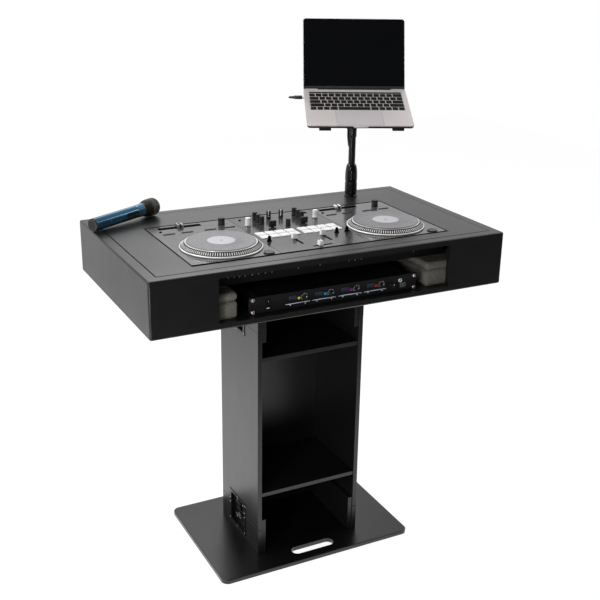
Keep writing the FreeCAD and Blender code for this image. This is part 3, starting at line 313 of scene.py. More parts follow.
def blank(name):
    """A new material, kept by its name: its node tree, its Principled shader and its object coordinates."""
    material = bpy.data.materials.new(name)
    material.use_nodes = True
    tree = material.node_tree
    M[name] = material
    return tree, tree.nodes["Principled BSDF"], node(tree, "TexCoord").outputs["Object"]


def edge_mask(tree, radius):
    """Rises towards 1 where a surface turns over an edge."""
    eased = node(tree, "Bevel", settings={"samples": 4}, Radius=radius).outputs["Normal"]
    plain = node(tree, "NewGeometry").outputs["Normal"]
    return remap(tree, vector_maths(tree, "DOT_PRODUCT", eased, plain), 0.985, 0.88)


def surface(name, colour, rough, metallic=0.0, drift=0.12, patch=14, stretch=(1, 1, 1), spread=0.06,
            grain=1400, relief=0.15, wear_and_edge_highlight=None, shine=0.5):
    """A finish whose colour and roughness drift over broad noise, with a fine grain in its relief."""
    tree, shader, place = blank(name)
    place = node(tree, "Mapping", Vector=place, Scale=stretch).outputs["Vector"]
    broad = speckle(tree, place, patch, 6, 0.6)
    tone = drifting(tree, broad, colour, drift)
    # Edges may take a lighter colour in speckled patches: partly scuffs, partly a painted highlight along the
    # edges.
    if wear_and_edge_highlight is not None:
        share = maths(tree, "MULTIPLY", edge_mask(tree, 1.6 * MM), speckle(tree, place, patch * 9, 3))
        tone = mixed_colour(tree, share, tone, toned(wear_and_edge_highlight))
    roughness = remap(tree, broad, 0.3, 0.7, max(0.03, rough - spread), min(1.0, rough + spread))
    fill(tree, shader, Base_Color=tone, Roughness=roughness, Metallic=metallic, Specular_IOR_Level=shine,
         Normal=relief_of(tree, speckle(tree, place, grain, 2), relief))


def grooved_disc(name, colour, rough, pitch):
    """Concentric grooves about the piece's own axis, with broad bands of wider spacing."""
    tree, shader, place = blank(name)
    kind = {"wave_type": "RINGS", "rings_direction": "Z", "wave_profile": "SIN"}
    grooves = node(tree, "TexWave", settings=kind, Vector=place, Scale=0.31 / pitch, Distortion=0.0)
    bands = node(tree, "TexWave", settings=kind, Vector=place, Scale=26, Distortion=1.5, Detail=2)
    tone = ramp(tree, bands.outputs["Fac"], (0, toned(colour, 0.97)), (1, toned(colour, 1.03)))
    roughness = remap(tree, speckle(tree, place, 60, 5), 0.3, 0.7, rough - 0.05, rough + 0.1)
    fill(tree, shader, Base_Color=tone, Roughness=roughness,
         Normal=relief_of(tree, grooves.outputs["Fac"], 0.35))


def foam_surface(name, colour):
    """Open-cell foam: dark pores between paler struts."""
    tree, shader, place = blank(name)
    cells = node(tree, "TexVoronoi", settings={"feature": "F1"}, Vector=place, Scale=420).outputs["Distance"]
    depth = maths(tree, "MULTIPLY_ADD", speckle(tree, place, 22, 5), 0.6, cells)
    tone = ramp(tree, depth, (0.25, toned(colour, 1.2)), (0.95, toned(colour, 0.6)))
    fill(tree, shader, Base_Color=tone, Roughness=0.95, Specular_IOR_Level=0.2,
         Normal=relief_of(tree, cells, 0.6, 0.8 * MM))


def deck_face(name, deck, mixer):
    """The controller's plate: a deck on each side of a darker mixer."""
    tree, shader, place = blank(name)
    across = node(tree, "SeparateXYZ", place).outputs["X"]
    away = maths(tree, "ABSOLUTE", maths(tree, "SUBTRACT", across, plate_middle.x * MM))
    deck_share = remap(tree, away, (MIXER_HALF - 0.2) * MM, (MIXER_HALF + 0.2) * MM)
    broad = speckle(tree, place, 12, 6)
    tone = mixed_colour(tree, deck_share, drifting(tree, broad, mixer, 0.1),
                        drifting(tree, broad, deck, 0.08))
    fill(tree, shader, Base_Color=tone, Metallic=0.5, Roughness=remap(tree, broad, 0.3, 0.7, 0.12, 0.17),
         Normal=relief_of(tree, speckle(tree, place, 2600, 2), 0.06))


# Finishes, their colours as they look on screen

TAGS = {"yellow": (222, 204, 30), "cyan": (28, 150, 205), "purple": (140, 48, 140), "red": (198, 40, 36)}

# The lighter edge colours given below are partly scuffs, partly painted highlight along the edges.
surface("lacquer", (20, 20, 20), 0.33, patch=7, spread=0.025, grain=800, relief=0.22, wear_and_edge_highlight=(42, 42, 42))
surface("lacquer_upright", (20, 20, 21), 0.33, patch=7, stretch=(3, 3, 0.5), spread=0.025, grain=800,
        relief=0.2, wear_and_edge_highlight=(42, 42, 42))
surface("plate_paint", (12, 12, 13), 0.3, patch=8, spread=0.03, grain=700, relief=0.25, wear_and_edge_highlight=(70, 70, 71))
surface("latch_steel", (26, 26, 28), 0.32, metallic=0.6, patch=40, relief=0.1)
surface("rivet_steel", (150, 150, 152), 0.3, metallic=0.9, patch=90, relief=0.05)
surface("latch_wing", (104, 104, 107), 0.2, metallic=0.85, patch=60, relief=0.05)
foam_surface("foam_grey", (116, 113, 106))
surface("rack_paint", (16, 16, 18), 0.45, patch=20, grain=1800, relief=0.3)
surface("coppery_zinc", (224, 206, 195), 0.3, metallic=0.55, patch=120, relief=0.05)
surface("knob_rubber", (18, 18, 19), 0.45, patch=80, grain=3000, relief=0.1)
surface("tray_plastic", (14, 14, 15), 0.5, patch=20, grain=2400, relief=0.3)
surface("motor_zinc", (150, 150, 152), 0.4, metallic=0.9, patch=40)
surface("pad_silicone", (232, 232, 233), 0.55, drift=0.04, patch=60, grain=2600, relief=0.1)
surface("silver_cap", (232, 232, 234), 0.3, metallic=0.2, drift=0.06, patch=60, stretch=(1, 1, 12),
        relief=0.08)
surface("platter_polish", (228, 228, 228), 0.32, metallic=1.0, drift=0.04, patch=40, relief=0.03)
surface("platter_band", (12, 11, 10), 0.8, patch=50, relief=0.1, shine=0.1)
surface("strobe_dots", (238, 238, 237), 0.35, metallic=0.2, drift=0.05, patch=90, relief=0.03)
surface("strobe_bars", (242, 241, 238), 0.45, drift=0.03, patch=90, relief=0.03)
surface("platter_mat", (84, 83, 85), 0.45, drift=0.06, patch=60, relief=0.1)
# Mid-grey record colour: painted sheen on a black record.
grooved_disc("record_groove", (120, 119, 122), 0.4, 0.9 * MM)
surface("record_label", (185, 183, 188), 0.5, drift=0.03, patch=50, grain=2400, relief=0.1)
surface("white_cap", (228, 228, 226), 0.4, drift=0.04, patch=70, relief=0.05)
surface("pale_ink", (150, 150, 152), 0.6, drift=0.05, patch=80, relief=0.02)
surface("white_print", (226, 228, 232), 0.6, drift=0.05, patch=80, relief=0.02)
surface("matt_inlay", (9, 9, 9), 0.9, patch=60, spread=0.05, relief=0.2, shine=0.0)
surface("gloss_plastic", (14, 14, 15), 0.11, patch=40, spread=0.03, relief=0.03)
surface("pole_paint", (24, 24, 25), 0.22, patch=30, stretch=(6, 6, 0.6), relief=0.06, wear_and_edge_highlight=(60, 60, 61))
surface("laptop_alloy", (209, 203, 202), 0.42, metallic=0.45, drift=0.03, patch=12, grain=5000, relief=0.12)
surface("trackpad_glass", (200, 194, 196), 0.36, metallic=0.45, drift=0.02, patch=12, grain=900, relief=0.0)
surface("key_plastic", (22, 21, 22), 0.6, patch=90, grain=4000, relief=0.1, shine=0.12)
surface("key_well", (172, 166, 163), 0.5, patch=60, relief=0.05)
surface("screen_glass", (5, 6, 8), 0.1, drift=0.2, patch=10, spread=0.05, relief=0.0)
surface("screen_chin", (27, 27, 28), 0.3, patch=30, relief=0.02)
surface("chin_bar", (64, 64, 66), 0.35, metallic=0.5, patch=30, relief=0.02)
surface("display_glass", (44, 48, 64), 0.25, drift=0.1, patch=90, spread=0.04, relief=0.0)
surface("stick_plastic", (20, 20, 21), 0.4, patch=90, relief=0.1)
surface("microphone_blue", (52, 88, 112), 0.18, metallic=0.85, drift=0.03, patch=40, grain=2600, relief=0.04)
surface("collar_blue", (80, 120, 148), 0.18, metallic=0.85, drift=0.04, patch=60, relief=0.04)
surface("tail_plastic", (13, 13, 13), 0.5, patch=60, relief=0.1)
surface("grille_wire", (124, 120, 115), 0.42, metallic=0.6, patch=200, relief=0.1)
surface("bar_paint", (214, 224, 238), 0.5, drift=0.05, patch=80, relief=0.02)
surface("dark_alloy", (62, 60, 57), 0.35, metallic=0.8, patch=60, stretch=(1, 1, 8))
for tag, colour in TAGS.items():
    surface(f"tag_{tag}", colour, 0.5, drift=0.06, patch=90)
deck_face("deck_face", (100, 98, 98), (76, 75, 76))


# Frame nodes that keep their shape: each finish with its nodes and the easing of their edges

KEPT = {
    "lacquer": {"case_bottom": 0.2, "case_sides": 0.15, "case_back": 0.15, "front_cheeks": 0.15,
                "top_frame": 0.3, "top_panel": 1.0},
    "lacquer_upright": {"column_sides": 0.8, "column_back": 0.6, "column_shelves": 0.8, "stub_walls": 0.8,
                        "joint_tongues": 0.8},
    "plate_paint": {"base_plate": 0},
    "latch_steel": {"latch_dishes": 0.5},
    "rack_paint": {"rack_rails": 0.4, "receiver_case": 0.6, "receiver_panel": 0.4},
    "tray_plastic": {"controller_tray": 0.8},
    "deck_face": {"controller_plate": 0.5},
    "motor_zinc": {"platter_motors": 0},
    "pole_paint": {"pole_tube": 0, "laptop_tray": 0.8},
    "laptop_alloy": {"laptop_base": 1.0, "laptop_lid": 0.8},
}
for finish, eased_nodes in KEPT.items():
    for name, width in eased_nodes.items():
        nodes[name].data.materials.clear()
        nodes[name].data.materials.append(M[finish])
        if width:
            soften(name, width)


# Latches on the column joints

RIVET = 2.3
STUB_HALF, COLUMN_HALF = 67, 37
DISH_DEPTH = 11.5
# Each half latch as its seam, the way it goes from it, its height and whether it holds the knob
LATCH_HALVES = ((88.0, -1, STUB_HALF, True), (88.6, 1, COLUMN_HALF, False),
                (689.4, -1, COLUMN_HALF, False), (690.0, 1, STUB_HALF, True))
# Sections along a knob's wing: share of its length, half width and share of its height
WING = ((0.0, 2.2, 0.94), (0.35, 2.4, 0.97), (0.6, 3.0, 1.0), (0.85, 3.0, 1.0), (1.0, 1.7, 0.9))


def rivet(bm, x, y, z, way):
    """A domed rivet on a face that looks along X."""
    profile = [(0, -0.4), (RIVET, -0.4), (RIVET, 0.3), (RIVET * 0.75, 1.1), (RIVET * 0.35, 1.4), (0, 1.5)]
    lathe(bm, profile, 14, 0, at(x, y, z) @ spin(way * QUARTER, "Y"))


def catch(bm, depths, half, heights, radius, steps=2):
    """A block between two depths and two heights, given in any order."""
    near, far = sorted(depths)
    low, high = sorted(heights)
    block(bm, (near, -half, low), (far, half, high), radius, steps)


def latch_details():
    """Rivets round the dishes, the keeper in each column half and the hook plate beside each knob."""
    low, high, _ = measured("latch_dishes")
    rivets = bmesh.new()
    catches = bmesh.new()
    for sign in WAYS:
        face = sign * high.x
        floor = face - sign * DISH_DEPTH
        for seam, way, height, holds_knob in LATCH_HALVES:
            for reach in (7, height - 6.5):
                for y in (low.y + 4.5, high.y - 4.5):
                    rivet(rivets, face, y, seam + way * reach, sign)
            rivet(rivets, face, 0, seam + way * (height - 3.2), sign)
            if holds_knob:
                catch(catches, (floor, face - sign * 5), 11, (seam + way, seam + way * 9), 1.4)
                for y in (-24, 24):
                    rivet(rivets, floor + sign * 1.2, y, seam + way * 46, sign)
            else:
                catch(catches, (floor, floor + sign * 2.4), 24, (seam + way * 3, seam + way * 25), 0.8)
                catch(catches, (floor, face - sign * 2.5), 15, (seam + way * 9, seam + way * 17), 2.4, 3)
                for y in (-20, 20):
                    rivet(rivets, floor + sign * 2.6, y, seam + way * 13, sign)
    piece("latch_rivets", rivets, ["rivet_steel"], "stand")
    piece("latch_catches", catches, ["latch_steel"], "stand")


def latch_knob(name, sign):
    """A winged knob with a round hub, flared wings and a pivot cap."""
    low, high, middle = measured(name)
    base = low.x if sign > 0 else -high.x
    reach = high.x - low.x
    half = (high.y - low.y) / 2
    hub = (high.z - low.z) / 2
    hub_low, shaft, pivot = reach * 0.32, 4, 2.6
    bm = bmesh.new()
    lathe(bm, [(0, 0), (shaft, 0), (shaft, hub_low), (hub * 0.96, hub_low), (hub, hub_low + 0.4),
               (hub, reach * 0.62), (hub * 0.9, reach * 0.68), (hub * 0.5, reach * 0.72), (0, reach * 0.72)],
          32)
    for way in WAYS:
        rings = []
        for share, wide, tall in WING:
            foot, top = hub_low + 0.2, reach * tall
            section = ((1, foot), (1, top * 0.9), (0.6, top), (-0.6, top), (-1, top * 0.9), (-1, foot))
            rings.append(ring(bm, [(x * wide, way * half * share, z) for x, z in section]))
        loft(bm, rings)
    lathe(bm, [(0, reach * 0.7), (pivot, reach * 0.7), (pivot, reach * 0.8), (1.8, reach * 0.86),
               (0, reach * 0.86)], 16, 1)
    piece(name + "_wing", bm, ["latch_wing", "rivet_steel"], name, [name],
          at(sign * base, middle.y, middle.z) @ spin(sign * QUARTER, "Y"))


latch_details()
for joint_level in ("lower", "upper"):
    for side, sign in SIGN.items():
        latch_knob(f"latch_knob_{joint_level}_{side}", sign)


# Foam risers

LOWER_FOAM = 45
FOAM_WIDTH = 130
FOAM_EDGE = 16


def foam_block(name, low, high):
    """A cut foam block with softened corners, a slight crown and a torn-cell skin."""
    bm = bmesh.new()
    block(bm, low, high, 9, 4)
    bmesh.ops.triangulate(bm, faces=bm.faces)
    for _ in range(5):
        long_edges = [edge for edge in bm.edges if edge.calc_length() > FOAM_EDGE * MM]
        if not long_edges:
            break
        bmesh.ops.subdivide_edges(bm, edges=long_edges, cuts=1)
        bmesh.ops.triangulate(bm, faces=[face for face in bm.faces if len(face.verts) > 4])
    bm.normal_update()
    middle, half = (low.y + high.y) / 2, (high.y - low.y) / 2
    for vert in bm.verts:
        spot = vert.co / MM
        crown = (1 - ((spot.y - middle) / half) ** 2) * 0.8
        wobble = noise.noise(vert.co * 38) * 0.5 + noise.noise(vert.co * 160) * 0.15
        on_rest = min(spot.z - low.z, high.z - spot.z) < 1
        if not on_rest:
            vert.co -= vert.normal * (1.6 - crown - wobble * 0.8) * MM
    made = piece(name, bm, ["foam_grey"], "stand", ["foam_risers"], crease=60)


foam_low, foam_high, _ = measured("foam_risers")
foam_seam = foam_low.z + LOWER_FOAM
for side, sign in SIGN.items():
    near, far = sorted((sign * foam_high.x, sign * (foam_high.x - FOAM_WIDTH)))
    for layer, bottom, top in (("lower", foam_low.z, foam_seam), ("upper", foam_seam, foam_high.z)):
        foam_block(f"foam_{layer}_{side}", Vector((near, foam_low.y, bottom)),
                   Vector((far, foam_high.y, top)))


# Rack receiver

CHANNEL_PITCH = 74.8
FIRST_SCREEN, FIRST_BAR, FIRST_TAG, FIRST_KNOB = -123.5, -109.5, -106, -90.5
SWITCH_X, PHONES_X, JACK_X, PORT_X, END_X = -191, 166, 190, 199, 218
KNOB_ROW = panel_low.z + 26.2
BAR_ROW = panel_low.z + 13.2
DIAL_RADIUS, DIAL_HEIGHT, DIAL_FLUTES = 6.5, 11, 14
TRIM = ["gloss_plastic", "pale_ink", "platter_mat", "silver_cap", "white_print", "bar_paint"]
GLOSS, INK, MAT, SILVER, PRINT, BAR = range(len(TRIM))


def facing(x, z):
    """A place on the receiver's face, turned so that its Z looks at the operator."""
    return at(x, panel_low.y, z) @ spin(QUARTER, "X")


def dial(bm, place):
    """A small fluted knob with a pointer line on its cap."""
    radius, height = DIAL_RADIUS, DIAL_HEIGHT
    flute, width = radius * 0.1, radius * 0.09
    lathe(bm, [(0, 0), (radius * 0.96, 0), (radius, 0.3), (radius, height * 0.3),
               (radius * 0.9, height * 0.36, flute), (radius * 0.86, height * 0.92, flute),
               (radius * 0.78, height), (radius * 0.3, height * 0.985), (0, height * 0.985)],
          DIAL_FLUTES * 4, 0, place, DIAL_FLUTES)
    block(bm, (-width, radius * 0.25, height * 0.97), (width, radius * 0.8, height + 0.15), finish=1,
          place=place)


def receiver_screws():
    """Pan heads with crossed slots on cup washers."""
    low, high, _ = measured("rack_screws")
    cup, head, shank = 6.6, 4.6, 2.9
    bm = bmesh.new()
    for x in (low.x + cup, high.x - cup):
        for z in (low.z + cup, high.z - cup):
            place = facing(x, z)
            lathe(bm, [(shank, 0), (cup * 0.98, 0), (cup, 0.4), (cup * 0.82, 1.4), (cup * 0.7, 2.0),
                       (4.4, 1.9), (shank, 1.2)], 28, 1, place, closed=True)
            lathe(bm, [(0, -9), (shank, -9), (shank, 1.6), (head, 1.9), (head, 2.6), (head * 0.86, 3.8),
                       (head * 0.5, 4.7), (0, 4.9)], 28, 0, place)
            for angle in (0, QUARTER):
                slot = place @ spin(angle + 0.5 * x / cup)
                block(bm, (-2.4, -0.5, 4.0), (2.4, 0.5, 5.0), 0.1, 1, 1, slot)
    piece("rack_screw_heads", bm, ["coppery_zinc", "knob_rubber"], "stand", ["rack_screws"])


def receiver_channel(number, tag, dials, glass, trim):
    """A dial in its scale, a display, a colour tag, and a bar with buttons below."""
    shift = number * CHANNEL_PITCH
    knob = facing(FIRST_KNOB + shift, KNOB_ROW)
    screen = facing(FIRST_SCREEN + shift, KNOB_ROW + 3)
    bar = facing(FIRST_BAR + shift, BAR_ROW)
    dial(dials, knob)
    block(trim, (-12, -6.4, -0.2), (12, 6.4, 0.7), 0.5, place=screen)
    block(glass, (-10.6, -5, 0.3), (10.6, 5, 0.95), 0.2, 1, place=screen)
    label = bmesh.new()
    block(label, (-3.4, -3, -0.1), (3.4, 3, 0.5), 0.3, place=facing(FIRST_TAG + shift, KNOB_ROW - 1))
    piece(f"channel_tag_{number + 1}", label, [f"tag_{tag}"], "stand")
    block(trim, (-29, -0.9, -0.1), (29, 0.9, 0.8), 0.4, finish=BAR, place=bar)
    for x, drop, radius in ((-21, 3.4, 1.7), (21, 3.4, 1.7), (-32, 0.4, 1.2), (32, 0.4, 1.2)):
        lathe(trim, [(0, -0.1), (radius, -0.1), (radius, 0.7), (radius * 0.7, 1.0), (0, 1.0)], 18, BAR,
              bar @ at(x, -drop))
    for step in range(9):
        spot = knob @ spin(-math.radians(-120 + 30 * step)) @ at(0, 8.6)
        block(trim, (-0.5, -1.2, -0.1), (0.5, 1.2, 0.2), finish=PRINT, place=spot)


def receiver_face():
    """The four channels, the switch, the phones section and the end rivets."""
    dials = bmesh.new()
    glass = bmesh.new()
    trim = bmesh.new()
    for number, tag in enumerate(TAGS):
        receiver_channel(number, tag, dials, glass, trim)
    dial(dials, facing(PHONES_X, panel_low.z + 20))
    switch = facing(SWITCH_X, panel_low.z + 25)
    block(trim, (-7, -10, -0.2), (7, 10, 1.4), 0.8, place=switch)
    block(trim, (-4.8, -8, 0.6), (4.8, 0.4, 3.2), 0.6, place=switch @ spin(0.12, "X"))
    block(trim, (-4.8, -0.2, 0.6), (4.8, 8, 2.2), 0.6, place=switch)
    block(trim, (-0.4, 3, 2.1), (0.4, 6, 2.35), finish=INK, place=switch)
    block(trim, (-4.8, -14.5, -0.1), (4.8, -12.6, 0.25), finish=PRINT, place=switch)
    block(trim, (-9, -7, -0.1), (9, 7, 0.6), 0.4, finish=MAT, place=facing(PORT_X, panel_low.z + 16))
    lathe(trim, [(3.3, 0), (5.2, 0), (5.2, 2.0), (4.4, 2.6), (3.3, 2.4)], 24, SILVER,
          facing(JACK_X, panel_low.z + 30), closed=True)
    for way in WAYS:
        lathe(trim, [(0, -0.1), (2.6, -0.1), (2.6, 0.3), (1.8, 0.3), (0, 0.1)], 18, GLOSS,
              facing(way * END_X, panel_low.z + 21.8))
    piece("receiver_dials", dials, ["knob_rubber", "white_cap"], "stand", ["receiver_knobs"])
    piece("receiver_displays", glass, ["display_glass"], "stand")
    piece("receiver_trim", trim, TRIM, "stand")


receiver_screws()
receiver_face()


# Deck controller

KNOB_LIFT, FADER_LIFT, PLATTER_LIFT = 0.6, 0.8, 1.2
# Half of a fader cap's saddle: shares of its length and of its height
SADDLE = ((0.16, 0.82), (0.4, 0.9), (0.66, 1.0), (0.86, 0.93), (1, 0.62))
# An effect paddle from its foot: shares of its height, thickness and width
PADDLE = ((0.0, 0.8, 0.94), (0.12, 1.0, 1.0), (0.4, 0.86, 1.0), (0.7, 0.9, 1.0), (0.92, 1.0, 1.0),
          (1.0, 0.72, 0.94))
STROBE_BARS = 104
PAD_PITCH, PAD_SIZE, PAD_GAP, PAD_BACK = 29, 25.5, 13, -42
BUTTON_STARTS = (-99.5, -48.5, 18.0, 73.0)
BUTTON_LENGTH, BUTTON_ROW = 33, 96
START_X, START_Y = 88, -158
CONES, CONE_ROW = (-112, 87, 118), -67
PITCH_SHIFT, PITCH_ROW = -34, 150.5
CHANNEL_X, CHANNEL_Y = 42, -94.5
CROSSFADER_Y = -152
SLOT = 4.6
SOCKET_HEIGHT = 882.5
SOCKETS = (-273, -257, -243, -228, -209, -192, -173, -155, -81, -19, 66, 84, 103, 264)
TONE_BANDS = ("low", "mid", "high")
FILTER_HEADING = math.radians(-27)


def mixer_knob(name, finish, flutes, pointer=0.0, heading=0.0):
    """A tall knob with a skirt and fluted sides; a pointer of a given width runs down its front."""
    low, high, middle = measured(name)
    radius = (high.x - low.x) / 2
    base = deck_top + KNOB_LIFT
    foot, height = low.z - base, high.z - base
    shaft, flute, half = 3, radius * 0.07, pointer / 2
    bm = bmesh.new()
    lathe(bm, [(0, foot), (shaft, foot), (shaft, 0), (radius * 0.97, 0), (radius, 0.5), (radius, 3.4),
               (radius * 0.97, 4.0), (radius * 0.97, 4.4, flute), (radius * 0.93, height - 1.6, flute),
               (radius * 0.92, height - 0.8, flute * 0.5), (radius * 0.84, height),
               (radius * 0.45, height - 0.3), (0, height - 0.3)], flutes * 4, flutes=flutes)
    if pointer:
        for vert in block(bm, (-half, -radius * 0.985, 4.2), (half, -radius * 0.74, height + 0.1), finish=1):
            if vert.co.z > height / 2 * MM:
                vert.co.y += radius * 0.05 * MM
        block(bm, (-half, -radius * 0.8, height - 0.5), (half, -radius * 0.12, height + 0.1), finish=1)
    piece(name + "_cap", bm, [finish, "white_cap"], name, [name],
          at(middle.x, middle.y, base) @ spin(heading))


def fader_cap(name, runs_along_x, finish, saddle=0):
    """A saddle-topped fader cap with a centre line, on its stem."""
    low, high, middle = measured(name)
    base = deck_top + FADER_LIFT
    height = high.z - base
    half = (high - low) / 2
    long, wide = (half.x, half.y) if runs_along_x else (half.y, half.x)
    bm = bmesh.new()
    rings = []
    for share, tall in [(-share, tall) for share, tall in reversed(SADDLE)] + list(SADDLE):
        top = height * tall
        section = ((-1, 0), (-1, top * 0.25), (-0.9, top * 0.9), (-0.8, top), (0.8, top), (0.9, top * 0.9),
                   (1, top * 0.25), (1, 0))
        rings.append(ring(bm, [(x * wide, share * long, z) for x, z in section]))
    # The saddle's middle strips can take a dark finish: on the pitch caps this is partly a dark insert and
    # partly a painted dark reflection across the chrome.
    loft(bm, rings, [0] * 3 + [saddle] * 3 + [0] * 3)
    block(bm, (-wide * 0.82, -0.45, height * 0.8), (wide * 0.82, 0.45, height * 0.84), finish=1)
    block(bm, (-1.7, -3, low.z - base), (1.7, 3, 0.2), finish=2)
    piece(name + "_cap", bm, [finish, "knob_rubber", "motor_zinc"], name, [name],
          at(middle.x, middle.y, base) @ spin(QUARTER if runs_along_x else 0))


def effect_paddle(name):
    """A rounded thumb paddle with a dished face on its stem."""
    low, high, middle = measured(name)
    blade_low = deck_top + 2
    width, thick, tall = high.x - low.x, high.y - low.y, high.z - blade_low
    bm = bmesh.new()
    rings = []
    for share, deep, wide in PADDLE:
        outline = round_outline(width * wide, thick * deep, thick * deep * 0.4, middle.xy, 3)
        rings.append(level(bm, outline, blade_low + share * tall))
    loft(bm, rings)
    block(bm, (middle.x - 4, middle.y - 1.5, low.z + 0.5), (middle.x + 4, middle.y + 1.5, blade_low + 0.3),
          0.3, 1)
    piece(name + "_blade", bm, ["knob_rubber"], name, [name])


def platter(name):
    """A turned platter: bright lips, a dark band of raised strobe bars and the spindle."""
    low, high, middle = measured(name)
    base = deck_top + PLATTER_LIFT
    foot, spindle_top = low.z - base, high.z - base
    radius = (high.x - low.x) / 2
    top, spindle, shaft = 14, 3.6, 5
    lip, crest = radius - 2.6, radius - 13.1
    lip_rise, crest_rise = 3.6, 12.2
    rim, band, mat, strobe, label, bars = range(6)
    profile = [(0, foot), (shaft, foot), (shaft, 0), (radius - 1.2, 0), (radius - 0.3, 0.3), (radius, 0.9),
               (radius, 2.4), (radius - 0.5, 3.1), (lip + 0.5, 3.4), (lip, lip_rise), (crest, crest_rise),
               (crest - 0.2, 12.7), (crest - 0.5, 13.6), (crest - 1.3, top), (crest - 3.4, top),
               (crest - 3.8, top - 0.3), (spindle + 1.6, top - 0.3), (spindle, top),
               (spindle, spindle_top - 1.4), (spindle * 0.8, spindle_top - 0.5),
               (spindle * 0.4, spindle_top - 0.1), (0, spindle_top)]
    bm = bmesh.new()
    lathe(bm, profile, 120, [strobe] * 9 + [band] * 2 + [rim] * 3 + [mat] * 2 + [label] * 5)
    inner, outer = crest + 1.6, lip - 1.8
    rise = (crest_rise - lip_rise) / (lip - crest)
    low_z, high_z = lip_rise + (lip - outer) * rise, lip_rise + (lip - inner) * rise
    half, lift = 0.9, 0.3
    feet = [(outer, half, low_z), (outer, -half, low_z), (inner, -half, high_z), (inner, half, high_z)]
    for number in range(STROBE_BARS):
        turn = spin(math.tau * number / STROBE_BARS)
        lower = ring(bm, [(x - lift, y, z - lift) for x, y, z in feet], turn)
        upper = ring(bm, [(x + lift, y * 0.86, z + lift * 0.6) for x, y, z in feet], turn)
        loft(bm, [lower, upper], bars)
    piece(name + "_disc", bm,
          ["platter_polish", "platter_band", "platter_mat", "strobe_dots", "record_label", "strobe_bars"],
          name, [name], at(middle.x, middle.y, base))


def record(name, body):
    """A grooved record with a raised bead and a plain label."""
    low, high, middle = measured(name)
    radius = (high.x - low.x) / 2
    thick = high.z - low.z
    hole, label, field = 3.75, 35.5, thick - 0.2
    grooved = [(hole, 0), (radius - 0.6, 0), (radius, 0.5), (radius, thick - 0.7), (radius - 0.7, thick),
               (radius - 1.8, thick), (radius - 2.6, field)]
    labelled = [(label + 0.4, field), (label, thick - 0.05), (label * 0.55, thick - 0.05),
                (label * 0.53, thick - 0.12), (hole, thick - 0.12)]
    bm = bmesh.new()
    lathe(bm, grooved + labelled, 96, [0] * len(grooved) + [1] * (len(labelled) - 1) + [0], closed=True)
    piece(name + "_disc", bm, ["record_groove", "record_label"], body, [name],
          at(middle.x, middle.y, low.z))


def pads_and_buttons():
    """Soft pads in two groups of eight, bar buttons and start buttons."""
    pad_top = measured("controller_buttons")[1].z
    pads = bmesh.new()
    caps = bmesh.new()
    for sign in WAYS:
        for row in range(2):
            for step in range(4):
                centre = (sign * (PAD_GAP / 2 + step * PAD_PITCH + PAD_SIZE / 2),
                          PAD_BACK + row * PAD_PITCH + PAD_SIZE / 2)
                prism(pads, round_outline(PAD_SIZE, PAD_SIZE, 2.2, centre, 4), deck_top, pad_top, 0, 0.7)
        deck = sign * DECK_X
        for start in BUTTON_STARTS:
            outline = round_outline(BUTTON_LENGTH, 5, 2, (deck + start + BUTTON_LENGTH / 2, BUTTON_ROW), 4)
            prism(caps, outline, deck_top, deck_top + 1.5, 0, 0.5)
        lathe(caps, [(0, 0), (14, 0), (14, 2.6), (13.4, 3.0), (12.4, 3.0), (11.8, 2.4), (11.2, 2.4),
                     (10.8, 2.9), (6, 2.6), (0, 2.5)], 48, [0, 0, 0, 1, 0, 0, 1, 1, 1],
              at(deck + START_X, START_Y, deck_top))
    piece("performance_pads", pads, ["pad_silicone"], "stand", ["controller_buttons"],
          deck_place)
    piece("deck_buttons", caps, ["knob_rubber", "dark_alloy"], "stand",
          ["controller_buttons"], deck_place)


def small_controls():
    """Cone knobs and round buttons."""
    bm = bmesh.new()
    cone = [(0, 0), (6.8, 0), (6.8, 1.2), (5.8, 2.2), (5.2, 3.2, 0.5), (3.5, 12.4, 0.4), (3.0, 13.8), (0, 14)]
    for x in CONES:
        lathe(bm, cone, 48, 0, at(x, CONE_ROW, deck_top), 12)
    buttons = [(-102, 146, 4), (102, 146, 4), (326, -154, 3), (333, -165, 3)]
    buttons += [(sign * DECK_X - 97, 123, 4) for sign in WAYS]
    for x, y, radius in buttons:
        lathe(bm, [(0, 0), (radius, 0), (radius, 1.0), (radius * 0.8, 1.6), (radius * 0.4, 1.8), (0, 1.8)],
              24, 0, at(x, y, deck_top))
    piece("small_controls", bm, ["matt_inlay"], "stand", (), deck_place)


def slot_frame(bm, x, y, length, width, border):
    """A thin frame round a fader slot, with the slot left open."""
    outer = round_outline(length + 2 * border, width + 2 * border, 1.5, (x, y), 3)
    inner = round_outline(length, width, 0.4, (x, y), 3)
    rings = [level(bm, outline, deck_top + lift) for outline, lift in
             ((inner, 0), (outer, 0), (outer, 0.3), (inner, 0.3))]
    skin(bm, rings, closed=True)


def tick(bm, x, y, half_width, low, high):
    """A printed line on the plate, from one distance to another along Y."""
    block(bm, (x - half_width, y + low, deck_top), (x + half_width, y + high, deck_top + 0.1))


